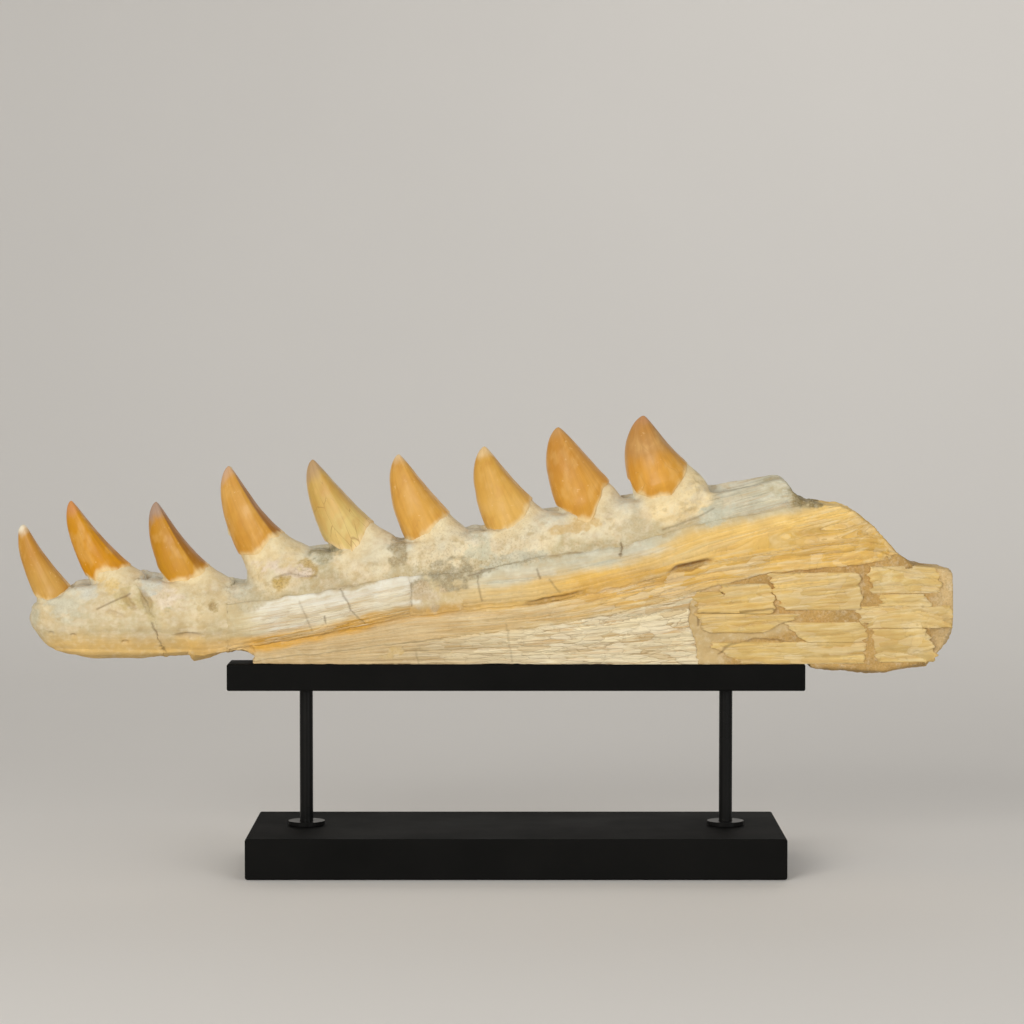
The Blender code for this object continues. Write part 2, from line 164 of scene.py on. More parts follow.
def line_distance(x, z, line):
    """Distance in the x-z plane from a broken line."""
    nearest = np.full(len(x), 1e9)
    for (x0, z0), (x1, z1) in zip(line, line[1:]):
        run = (x1 - x0) ** 2 + (z1 - z0) ** 2
        share = np.clip(((x - x0) * (x1 - x0) + (z - z0) * (z1 - z0)) / run, 0, 1)
        nearest = np.minimum(nearest, np.hypot(x - x0 - share * (x1 - x0), z - z0 - share * (z1 - z0)))
    return nearest


def blob(x, z, middle, reach, tilt=0):
    """1 at the middle of a tilted oval, falling to 0 at its edge."""
    angle = radians(tilt)
    dx, dz = x - middle[0], z - middle[1]
    along = (dx * np.cos(angle) + dz * np.sin(angle)) / reach[0]
    across = (dz * np.cos(angle) - dx * np.sin(angle)) / reach[1]
    return np.clip(1 - np.hypot(along, across), 0, 1)


def tooth_axis(sizes):
    """A crown's length, and its direction from base to tip as x and z."""
    (base_x, base_z), (tip_x, tip_z) = sizes[:2]
    length = hypot(tip_x - base_x, tip_z - base_z)
    return length, (tip_x - base_x) / length, (tip_z - base_z) / length


# ---- stage: floor, light and camera ----
def make_stage():
    """A pale floor that sweeps up behind, soft light and the photograph's camera."""
    scene = bpy.context.scene
    scene.view_settings.view_transform = "Standard"
    profile = [(-4, 0), (1.2, 0)]
    profile += [(1.2 + 1.2 * np.sin(a), 1.2 - 1.2 * np.cos(a)) for a in np.linspace(0.1, pi / 2, 12)]
    profile.append((2.4, 5))
    verts = [(x, y, z - 0.0003) for x in (-5, 5) for y, z in profile]
    count = len(profile)
    faces = [(k, count + k, count + k + 1, k + 1) for k in range(count - 1)]
    floor = new_piece("floor", verts, faces)
    floor.data.materials.append(floor_material())

    world = bpy.data.worlds.new("studio")
    world.use_nodes = True
    glow = world.node_tree.nodes["Background"].inputs
    glow["Color"].default_value = (1, 0.98, 0.95, 1)
    glow["Strength"].default_value = 0.38
    scene.world = world
    add_light("key", (-1.2, -2.3, 0.9), 1.3, 37, (1, 0.97, 0.92))
    add_light("fill", (1.5, -2.1, 0.5), 1.2, 16.5, (0.97, 0.98, 1))
    add_light("rim", (0.5, 2.1, 1.4), 1.2, 5, (1, 0.98, 0.95))

    camera = bpy.data.objects.new("camera", bpy.data.cameras.new("camera"))
    camera.data.sensor_width = 36
    camera.data.lens = CAMERA_LENS
    camera.data.clip_end = 50
    camera.location = [value * MM for value in CAMERA_PLACE]
    camera.rotation_euler = (radians(90 - CAMERA_PITCH), 0, 0)
    scene.collection.objects.link(camera)
    scene.camera = camera


def add_light(name, place, size, power, colour):
    """A square soft light aimed at the jaw."""
    light = bpy.data.lights.new(name, "AREA")
    light.size = size
    light.energy = power
    light.color = colour
    lamp = bpy.data.objects.new(name, light)
    lamp.location = place
    aim = np.array((0, 0, 0.17)) - np.array(place)
    lamp.rotation_euler = (
        pi / 2 + atan(aim[2] / hypot(aim[0], aim[1])), 0, float(np.arctan2(aim[1], aim[0])) - pi / 2
    )
    bpy.context.scene.collection.objects.link(lamp)


# ---- mesh helpers ----
def new_piece(name, verts, faces):
    """An object from lists of points in metres and of faces, shaded smooth."""
    mesh = bpy.data.meshes.new(name)
    mesh.from_pydata(verts, [], faces)
    mesh.shade_smooth()
    piece = bpy.data.objects.new(name, mesh)
    bpy.context.scene.collection.objects.link(piece)
    return piece


def read_rows(rows, field):
    """Three numbers from every row of a mesh's data."""
    values = np.empty(len(rows) * 3)
    rows.foreach_get(field, values)
    return values.reshape(-1, 3)


def write_points(mesh, points):
    """Put points in millimetres back into the mesh."""
    mesh.vertices.foreach_set("co", (points * MM).ravel())
    mesh.update()


def smooth_points(mesh, points, rounds, weight):
    """Move every point toward the middle of its neighbours."""
    ends = np.empty(len(mesh.edges) * 2, dtype=np.int64)
    mesh.edges.foreach_get("vertices", ends)
    one, two = ends[0::2], ends[1::2]
    count = len(points)
    neighbours = np.bincount(one, minlength=count) + np.bincount(two, minlength=count)
    for _ in range(rounds):
        for axis in range(3):
            total = np.bincount(one, points[two, axis], count) + np.bincount(two, points[one, axis], count)
            points[:, axis] += weight * (total / neighbours - points[:, axis])
    return points


STORED = {1: ("FLOAT", "value"), 3: ("FLOAT_VECTOR", "vector"), 4: ("FLOAT_COLOR", "color")}


def store(mesh, **kept):
    """Keep numbers, rows of three or colours with alpha for the material."""
    for name, values in kept.items():
        kind, field = STORED[values.size // len(values)]
        mesh.attributes.new(name, kind, "POINT").data.foreach_set(field, values.ravel())


def dense_copy(name, nodes, voxel, shells):
    """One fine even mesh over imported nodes, grown together with shells."""
    solids = []
    for part in (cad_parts[node].data for node in nodes):
        solids.append(([vert.co for vert in part.vertices], [face.vertices for face in part.polygons]))
    solids += [(points * MM, corners) for points, corners in shells]
    verts, faces = [], []
    for points, corners in solids:
        faces.extend([len(verts) + corner for corner in face] for face in corners)
        verts.extend(map(tuple, points))
    rough = new_piece(name, verts, faces)
    step = rough.modifiers.new("even", "REMESH")
    step.mode = "VOXEL"
    step.voxel_size = voxel * MM
    step.use_smooth_shade = True
    depsgraph = bpy.context.evaluated_depsgraph_get()
    mesh = bpy.data.meshes.new_from_object(rough.evaluated_get(depsgraph))
    rough.modifiers.clear()
    rough.data = mesh
    mesh.materials.clear()
    return rough


# ---- materials ----
PALE_BONE_SHINE = 0.2
ENAMEL_SHINE = 0.28


class Look:
    """A material's nodes, with short ways to add and join them."""

    def __init__(self, name):
        self.material = bpy.data.materials.new(name)
        self.material.use_nodes = True
        self.tree = self.material.node_tree
        self.shader = self.tree.nodes["Principled BSDF"]
        self.place = self.add("TexCoord", {}, "Object")
        self.colour = None

    def put(self, value, socket):
        """Join an output to an input, or set a plain value."""
        if isinstance(value, bpy.types.NodeSocket):
            self.tree.links.new(value, socket)
        else:
            socket.default_value = value

    def add(self, kind, inputs, output=0, **settings):
        """Add a node, fill its inputs and return one output."""
        node = self.tree.nodes.new("ShaderNode" + kind)
        for key, value in settings.items():
            setattr(node, key, value)
        for key, value in inputs.items():
            self.put(value, node.inputs[key])
        return node.outputs[output]

    def stored(self, name, output="Fac"):
        """A value that the mesh keeps at every point."""
        return self.add("Attribute", {}, output, attribute_name=name)

    def math(self, kind, *values):
        """One step of arithmetic."""
        return self.add("Math", dict(enumerate(values)), operation=kind)

    def times(self, first, second):
        """The product of two values."""
        return self.math("MULTIPLY", first, second)

    def scaled(self, value, low, high, to_low, to_high):
        """Stretch a value from one range to another, held at its ends."""
        ends = {"From Min": low, "From Max": high, "To Min": to_low, "To Max": to_high}
        return self.add("MapRange", {"Value": value, **ends})

    def noise(self, vector, scale, detail=4, roughness=0.6):
        """A noise texture read at a vector."""
        inputs = {"Vector": vector, "Scale": scale, "Detail": detail, "Roughness": roughness}
        return self.add("TexNoise", inputs, "Fac")

    def stretched(self, vector, sizes):
        """A vector scaled along its three axes."""
        return self.add("VectorMath", {0: vector, 1: sizes}, operation="MULTIPLY")

    def mixed(self, share, first, second, kind="MIX"):
        """A colour mixed from two by a share."""
        return self.add("Mix", {0: share, 6: first, 7: second}, 2, data_type="RGBA", blend_type=kind)

    def tinted(self, share, dark, light):
        """Start from the mesh's own tint, between two brightnesses."""
        light = self.mixed(share, (*dark, 1), (*light, 1))
        self.colour = self.mixed(1, self.stored("tint", "Color"), light, "MULTIPLY")

    def paint(self, share, colour):
        """Lay an on-screen colour over the surface by a share."""
        self.colour = self.mixed(share, self.colour, (*linear(colour), 1))

    def shade(self, value, low, high, most, mask, colour):
        """Paint where a value runs from low to high, within a mask."""
        self.paint(self.times(self.scaled(value, low, high, 0, most), mask), colour)

    def finish(self, roughness, shine, height, strength, distance):
        """Join colour, roughness and bump to the shader."""
        self.put(self.colour, self.shader.inputs["Base Color"])
        self.put(roughness, self.shader.inputs["Roughness"])
        self.shader.inputs["Specular IOR Level"].default_value = shine
        bump = self.add("Bump", {"Height": height, "Strength": strength, "Distance": distance})
        self.put(bump, self.shader.inputs["Normal"])
        return self.material


def fibre_steps(look, grain, across, width, sway_sizes, sway):
    """A value that rises across each fibre and drops at its edge."""
    bend = look.noise(look.stretched(grain, sway_sizes), 1, 3, 0.55)
    moved = look.math("MULTIPLY_ADD", bend, sway, look.times(across, 1 / width))
    return look.math("FRACT", moved)


def fossil_material(name):
    """Fossil bone and matrix: tints, splintered grain with painted shade and highlights on its steps, grit,
    cracks, painted shadow lines and stains.
    """
    look = Look(name)
    times, scaled, stretched, paint, shade = look.times, look.scaled, look.stretched, look.paint, look.shade
    grain = look.stored("grain", "Vector")
    fibre, grit, crack = (look.stored(key) for key in ("fibre", "grit", "crack"))

    apart = look.add("SeparateXYZ", {0: grain}).node.outputs
    across = look.math("ADD", apart["Y"], times(apart["Z"], 0.5))
    coarse = fibre_steps(look, grain, across, 2.3, (0.02, 0.1, 0.07), 2.2)
    fine = fibre_steps(look, grain, across, 0.9, (0.04, 0.25, 0.2), 2)
    patchy = look.noise(stretched(grain, (0.04, 0.16, 0.1)), 1)
    streaks = look.noise(stretched(grain, (0.03, 0.9, 0.5)), 1)
    speckle = look.noise(look.place, 900, 3)
    mottle = look.noise(look.place, 260)
    cloud = look.noise(look.place, 60, 4, 0.55)

    look.tinted(scaled(cloud, 0.35, 0.65, 0, 1), (0.92, 0.9, 0.87), (1.05, 1.05, 1.04))
    plain = scaled(fibre, 0, 0.5, 1, 0.15)
    shade(mottle, 0.52, 0.36, 0.2, plain, (198, 164, 108))
    shade(mottle, 0.5, 0.68, 0.2, plain, (244, 236, 212))
    shade(streaks, 0.5, 0.36, 0.6, fibre, (196, 146, 72))
    shade(streaks, 0.52, 0.66, 0.6, fibre, (244, 228, 186))
    fibre_step_shading = scaled(fibre, 0.3, 0.9, 0, 0.9)
    # painted shade at the foot of each fibre step and painted highlight on its lip
    for steps, low, high in ((coarse, 0.47, 0.56), (fine, 0.49, 0.6)):
        shown = times(scaled(patchy, low, high, 0, 0.75), fibre_step_shading)
        paint(times(scaled(steps, 0, 0.16, 1, 0), shown), (144, 106, 56))
        shade(steps, 0.6, 1, 0.6, shown, (246, 232, 196))

    flaky = scaled(fibre, 0.4, 0.95, 0, 1)
    bend = {"Vector": stretched(grain, (0.09, 0.35, 0.25)), "Scale": 1, "Detail": 2}
    bend = stretched(look.add("TexNoise", bend, "Color"), (1.2, 0.9, 0.9))
    flow = stretched(grain, (0.085, 0.5, 0.3))
    warped = look.add("VectorMath", {0: flow, 1: bend}, operation="ADD")
    cells = {"Vector": warped, "Scale": 1}
    flakes = look.add("TexVoronoi", cells, "Distance", feature="DISTANCE_TO_EDGE")
    shades = look.add("TexVoronoi", cells, "Color", feature="F1")
    tone = look.add("SeparateXYZ", {0: shades}).node.outputs
    shade(tone["X"], 0.4, 1, 0.55, flaky, (244, 232, 202))
    shade(tone["Y"], 0.7, 1, 0.45, flaky, (184, 148, 88))
    broken = times(scaled(flakes, 0, 0.05, 0.5, 0), scaled(patchy, 0.45, 0.58, 0, 1))
    paint(times(broken, flaky), (146, 112, 60))
    shade(speckle, 0.47, 0.34, 0.5, grit, (140, 118, 80))
    shade(speckle, 0.55, 0.7, 0.22, grit, (244, 236, 212))
    # real cracks, and painted shadow lines under a ledge and along plates
    paint(crack, CRACK_AND_SHADOW_BROWN)

    height = times(times(coarse, scaled(patchy, 0.42, 0.56, 0, 1)), fibre)
    for part in (
        times(times(fine, 0.4), fibre),
        times(times(streaks, 0.8), fibre),
        times(scaled(flakes, 0, 0.12, 0, 1.2), flaky),
        times(speckle, scaled(grit, 0, 1, 0.15, 0.7)),
    ):
        height = look.math("ADD", height, part)
    return look.finish(scaled(cloud, 0.3, 0.7, 0.58, 0.82), PALE_BONE_SHINE, height, 0.6, 0.0004)


def enamel_material():
    """Polished amber enamel with faint streaks, fine cracks and worn spots."""
    look = Look("tooth_enamel")
    streaks = look.noise(look.stored("grain", "Vector"), 1, 5)
    spots = look.noise(look.place, 420, 3)
    cloud = look.noise(look.place, 110, 3, 0.5)
    look.tinted(look.scaled(streaks, 0.3, 0.7, 0, 1), (0.92, 0.89, 0.84), (1.06, 1.06, 1.06))
    look.paint(look.scaled(spots, 0.66, 0.78, 0, 0.4), (244, 220, 168))
    web = {"Vector": look.stored("web", "Vector"), "Scale": 0.85}
    cells = look.add("TexVoronoi", web, "Distance", feature="DISTANCE_TO_EDGE")
    lines = look.times(look.scaled(cells, 0, 0.02, 0.75, 0), look.stored("cracked"))
    look.paint(look.times(lines, look.scaled(cloud, 0.42, 0.56, 0, 1)), (150, 100, 46))
    return look.finish(look.scaled(cloud, 0.35, 0.65, 0.34, 0.5), ENAMEL_SHINE, streaks, 0.25, 0.0003)


def paint_material(name, rough_low, rough_high, grain_scale, shine):
    """Black satin paint with a slight texture, dust and handling marks."""
    look = Look(name)
    texture = look.noise(look.place, grain_scale)
    cloud = look.noise(look.place, 14)
    dust = look.noise(look.place, 1500, 2, 0.5)
    even = look.scaled(cloud, 0.3, 0.7, 0, 1)
    black = look.mixed(even, (0.0055, 0.0055, 0.0051, 1), (0.0085, 0.0083, 0.0078, 1))
    look.colour = look.mixed(look.scaled(dust, 0.7, 0.82, 0, 0.35), black, (0.02, 0.02, 0.019, 1))
    return look.finish(look.scaled(cloud, 0.3, 0.7, rough_low, rough_high), shine, texture, 0.12, 0.0002)


def floor_material():
    """Plain pale floor with the faintest unevenness."""
    look = Look("floor")
    cloud = look.noise(look.place, 2, 2, 0.5)
    colour = look.mixed(cloud, (0.8, 0.78, 0.75, 1), (0.84, 0.82, 0.79, 1))
    look.put(colour, look.shader.inputs["Base Color"])
    look.shader.inputs["Roughness"].default_value = 0.8
    return look.material


# ---- jaw surfaces ----
VOXEL = 0.64
ROOT_SWELLING = ((0, 1), (5, 1.03), (12, 1.1), (21, 1.12), (30, 0.95))    # depth, widening
ROOT_LEAN = 0.45                    # share of the crown's lean that the root keeps
# bony skirt round each crown: depth below its base, widening at the front, rear and sides
ROOT_SKIRT = (
    (-6, 0.8, 0.8, 0.8), (-1, 0.96, 0.97, 1), (3.5, 1, 1.27, 1.26), (7, 1.04, 1.48, 1.44),
    (12, 1.08, 1.64, 1.62), (19, 1, 1.6, 1.64),
)
# depth below the crown's base and how much deeper the tooth is there, front to back
BASE_DEEPER = ((-9, 1), (-5, 1.01), (-1.5, 1.06), (1, 1.15), (3.5, 1.29), (7, 1.47), (12, 1.66), (19, 1.68))
SKIRT_FLARE = (0.5, 0.9, 0.9, 1, 0.9, 0.7, 0.7, 0.3, 0.5)     # share of the rear widening, per tooth
SKIRT_SIDES = 40
# rounded bone before each tooth from the second on: middle x, top, half sizes
SADDLES = (
    (-260.5, 169.3, (9, 14.5)), (-217, 173.6, (9, 17.3)), (-165, 170.8, (10, 16.5)),
    (-118, 190.7, (11, 18)), (-69, 196, (11, 18.5)), (-23.5, 202.6, (11, 19)),
    (22.5, 213.4, (11, 20)), (67, 221, (11, 20)),
)
SADDLE_DEPTH = 12
SADDLE_RINGS = 17
# where each tooth's enamel ends: place from its front (-1) to its rear edge (1), share of its height
CROWN_EDGE = (
    ((-1, 0.1), (-0.8, 0.04), (-0.4, -0.066), (0.43, -0.1), (1, -0.02)),
    ((-1, 0.18), (-0.7, 0.07), (-0.4, 0.12), (0.3, 0.08), (1, 0.02)),
    ((-1, 0.3), (-0.75, 0.1), (-0.1, 0.055), (0.5, 0.06), (1, 0.1)),
    ((-1, 0.16), (-0.7, 0.11), (-0.35, 0.076), (0.25, 0.15), (1, 0.16)),
    ((-1, 0.2), (-0.7, 0.06), (-0.3, -0.03), (0.3, 0.04), (1, 0.13)),
    ((-1, 0.1), (-0.8, 0.07), (-0.15, 0.085), (0.3, 0.14), (1, 0.15)),
    ((-1, 0.05), (-0.65, -0.06), (-0.05, -0.05), (0.4, 0.03), (1, 0.17)),
    ((-1, 0.11), (-0.7, -0.04), (-0.3, -0.19), (-0.05, -0.22), (0.2, -0.08), (0.65, 0.1), (1, 0.145)),
    ((-1, 0.23), (-0.9, 0.01), (-0.5, -0.115), (0.08, -0.16), (0.5, -0.005), (1, 0.16)),
)
SANDY_CRACK = ((-224, 178), (-226, 169), (-215, 149.5), (-210.5, 128))
# thin cracks on the outer side, and painted shadow lines under a ledge and along the edges of plates, each
# a strength and a broken line
CRACKS_AND_SHADOW_LINES = (
    (0.3, ((-129, 161), (-125, 152), (-121, 143))),
    (0.5, ((-104.5, 167.5), (-98, 156), (-91, 148))),
    (0.55, ((-113.5, 152), (-113, 148))), (0.45, ((-23, 176), (-22.5, 170), (-20, 161))),
    (0.5, ((12.5, 180), (14.5, 174.5))), (0.4, ((20, 174), (26, 166.5))),
    (0.7, ((62.4, 195.6), (62.4, 190.5))), (0.5, ((-249.5, 156), (-240, 160.5), (-230, 165))),
    (0.6, ((-217, 148), (-213, 138), (-209.5, 131))),
    # painted shadow line under a ledge
    (0.35, ((-143, 175), (-134, 177.5), (-126, 175.5), (-119, 175.5))),
    (0.25, ((-60, 131), (-58, 123))), (0.25, ((-6, 147), (-4, 136), (-2.5, 124))),
    # painted shadow lines along the top of one plate and over another
    (0.6, ((108.5, 147), (108, 152.5), (114, 154.4), (130, 153.6), (150, 156.5))),
    (0.5, ((121, 129), (130, 134.5), (142, 138.6), (156, 138), (164, 136))),
    (0.25, ((-140, 163.5), (-118, 165.5), (-102, 169.5), (-86, 172))),
    (0.4, ((-28, 176), (-8, 182), (14, 187), (40, 190.5))),
    (0.35, ((88, 203.5), (104, 209), (118, 216))),
    (0.3, ((-118, 139.5), (-100, 143.5), (-84, 145))),
    (0.3, ((-78, 134), (-62, 137), (-44, 138))), (0.5, ((-62.5, 171.5), (-62, 158.5))),
)
# hollows on the outer side: middle (x, z), half sizes, tilt, depth, strength of the painted shade in it
HOLLOWS = (
    ((104, 182), (17, 2.8), 15, 2.6, 0.85), ((22, 162.4), (22, 2.2), 11, 1.5, 0.62),
    ((-195.5, 140.4), (11, 2.2), 1, 1.2, 0.25), ((62, 188.9), (1.3, 1.3), 0, 2.4, 0.7),
    ((-264.3, 140), (2.6, 1.5), 0, 1, 0.3), ((-233.3, 136.2), (2.8, 1.4), 0, 1, 0.3),
    ((-278, 141), (2.2, 1.5), 0, 0.8, 0.25), ((-219.5, 160), (3.4, 12), 26, 1.9, 0.4),
    ((-231, 161), (9, 2.8), -50, 1.5, 0.35), ((-238, 153), (8, 2), -20, 0.9, 0.2),
    ((-181, 158), (2.2, 2.4), 20, 0.9, 0.25), ((-136, 176), (7, 2.4), 20, 0.9, 0.16),
)
# islands of sand and rough matrix on the outer side: middle (x, z), half sizes, tilt, colour
SAND_ISLANDS = (
    ((-222, 161), (10, 16), 24, (196, 180, 132)), ((-232, 160), (10, 6), -45, (204, 184, 130)),
    ((-212, 165), (7, 11), 0, (224, 208, 180)), ((-180.5, 158), (4.5, 4), 30, (174, 150, 94)),
    ((-124.5, 180), (10, 6.5), 0, (178, 148, 84)), ((-113, 188), (13, 8), 15, (160, 154, 124)),
    ((-140, 171.5), (7, 6), 30, (192, 164, 98)), ((-219, 171), (9, 8), -20, (212, 213, 202)),
    ((-206, 157), (4, 5), 20, (172, 164, 126)), ((-245, 170), (9, 8), 0, (224, 196, 134)),
    ((154, 228), (9, 6), 10, (190, 180, 148)), ((-158, 162), (14, 9), 8, (194, 182, 150)),
    ((-70.5, 190), (7, 12), 0, (164, 150, 118)), ((-38, 176.5), (32, 12), 14, (160, 150, 122)),
    ((-52, 164), (13, 11), 0, (206, 186, 152)), ((-21, 189), (10, 12), 0, (204, 200, 174)),
    ((1, 186), (26, 6), 12, (197, 194, 172)), ((36, 205), (20, 5), 12, (210, 178, 120)),
    ((70, 204), (9, 12), 0, (204, 190, 156)), ((118, 212), (15, 7), 15, (196, 196, 176)),
    ((173, 222), (17, 7), -14, (124, 110, 70)), ((-75, 128), (10, 4), 30, (208, 180, 124)),
    ((-140, 180), (22, 5), -8, (232, 216, 198)), ((-205, 161), (9, 9), 0, (234, 219, 196)),
    ((-272, 157), (16, 9), -15, (206, 201, 178)), ((-255, 167), (7, 9), 0, (212, 210, 195)),
)
DARK_ISLAND = 480                   # islands with a smaller sum of colour are coarse sand
# fibre strength of the parts whose grain doesn't follow the zones of the outer side
PLAIN_FIBRE = {"plate": 0.6, "splenial": 0.7, "matrix": 0.0, "patch": 0.0}


def chance(first, second, seed):
    """A random value from 0 to 1 for every pair of whole numbers."""
    table = np.random.default_rng(seed).random((64, 64))
    return table[first.astype(np.int64) % 64, second.astype(np.int64) % 64]


def grain_place(x, y, z):
    """Places along the bone's fibres, across them and into the bone."""
    low = height_of(LOWER_SEAM, x)
    share = (z - BEAM_TOP) / np.maximum(low - BEAM_TOP, 6)
    steeper = 0.12 * np.maximum(x - 80, 0) * ramp(z - low, 0, 12)
    across = np.where(z < low, share * 34, 34 + (z - low) - steeper)
    return np.column_stack((x, across, y))


def tooth_reach(up, length, sizes, rearward):
    """A tooth's reach from its axis to its front or rear edge, at a height."""
    above = np.clip(up, 0, 1)
    below = np.maximum(-up, 0) * length
    wider = height_of(ROOT_SWELLING, below)
    slope = 0.8 * (1 - above) ** sizes[4] + 0.2 * (1 - above ** 4) ** 0.5
    bulge = (1 - above ** 2.4) ** 0.6
    return np.where(rearward, sizes[3] * slope, sizes[2] * bulge) * wider


def ring_faces(rings, sides):
    """Faces of a closed loft through rings that go downward."""
    faces = [tuple(range(sides))]
    for ring in range(rings - 1):
        first = ring * sides
        for k in range(sides):
            beside = (k + 1) % sides
            faces.append((first + beside, first + k, first + sides + k, first + sides + beside))
    last = (rings - 1) * sides
    faces.append(tuple(last + k for k in reversed(range(sides))))
    return faces


def root_skirt(sizes, flare):
    """A closed loft from inside a crown's base down into the jaw."""
    (base_x, base_z), _, front, rear, _ = sizes
    _, lean_x, lean_z = tooth_axis(sizes)
    half_depth = CROWN_DEPTH * 0.5 * (front + rear)
    turn = full_turn(SKIRT_SIDES)
    rings = []
    for depth, front_wide, rear_wide, side_wide in ROOT_SKIRT:
        rear_wide = 1 + (rear_wide - 1) * (flare if rear_wide > 1 else 1)
        reach = np.where(np.cos(turn) > 0, rear * rear_wide, front * front_wide) * np.cos(turn)
        along = -depth if depth < 0 else -depth * ROOT_LEAN
        middle_x = base_x + lean_x * along
        middle_z = base_z + lean_z * along if depth < 0 else base_z - depth
        side = half_depth * side_wide * np.sin(turn)
        rings.append(np.column_stack((middle_x + lean_z * reach, side, middle_z - lean_x * reach)))
    return np.concatenate(rings), ring_faces(len(rings), SKIRT_SIDES)


def saddle(middle_x, top, reach):
    """A closed block with a rounded back, between two teeth."""
    turn = full_turn(SKIRT_SIDES)
    rings = []
    for tilt in np.linspace(-0.49 * pi, 0.49 * pi, SADDLE_RINGS):
        wide = np.cos(tilt) * np.sin(turn)
        x = middle_x + reach[0] * np.cos(tilt) * np.cos(turn)
        y = reach[1] * np.sign(wide) * np.abs(wide) ** 0.5
        z = np.full(SKIRT_SIDES, top - SADDLE_DEPTH * (1 + np.sin(tilt)))
        rings.append(np.column_stack((x, y, z)))
    return np.concatenate(rings), ring_faces(len(rings), SKIRT_SIDES)


def root_mask(x, z):
    """1 on the bony roots below the crowns."""
    mask = np.zeros(len(x))
    for sizes in TEETH:
        (base_x, base_z), _, front, rear, _ = sizes
        width = 0.5 * (front + rear)
        middle = (base_x + 0.3 * (rear - front) + 4, base_z - 5)
        mask = np.maximum(mask, ramp(blob(x, z, middle, (width * 1.45, 21), 12), 0, 0.3))
    return mask


def rounded_mask(x, z):
    """1 along the jaw's top and round its chin, where the bone is worn round."""
    top = np.where(x < JOIN_X, 159 + 0.12 * (x - JOIN_X), height_of(UPPER_SEAM, x) + 6)
    crest = ramp(z - top, 0, 4) * ramp(128 - x, 0, 10)
    chin = ramp(144 - z, 0, 8) * ramp(-204 - x, 0, 8)
    return np.maximum(crest, chin)


def crown_mask(x, z, low, high):
    """1 above the enamel's edge of each crown, from low to high shares of its length."""
    mask = np.zeros(len(x))
    for sizes, edge_line in zip(TEETH, CROWN_EDGE):
        length, up_x, up_z = tooth_axis(sizes)
        dx, dz = x - sizes[0][0], z - sizes[0][1]
        up = (dx * up_x + dz * up_z) / length
        to_rear = dx * up_z - dz * up_x
        side = to_rear / np.maximum(tooth_reach(up, length, sizes, to_rear > 0), 0.5)
        inside = ramp(up - height_of(edge_line, np.clip(side, -1, 1)), low, high) * (up < 1.3)
        mask = np.maximum(mask, inside * ramp(1.35 - np.abs(side), 0, 0.25))
    return mask


def coat(base, count, layers, shade=1):
    """A base colour with others laid on in turn, each where its mask is high."""
    colours = np.tile(linear(base), (count, 1))
    for mask, colour in layers:
        colours = colours + mask[:, None] * (np.array(linear(colour)) - colours)
    return np.column_stack((colours * shade, np.ones(count)))


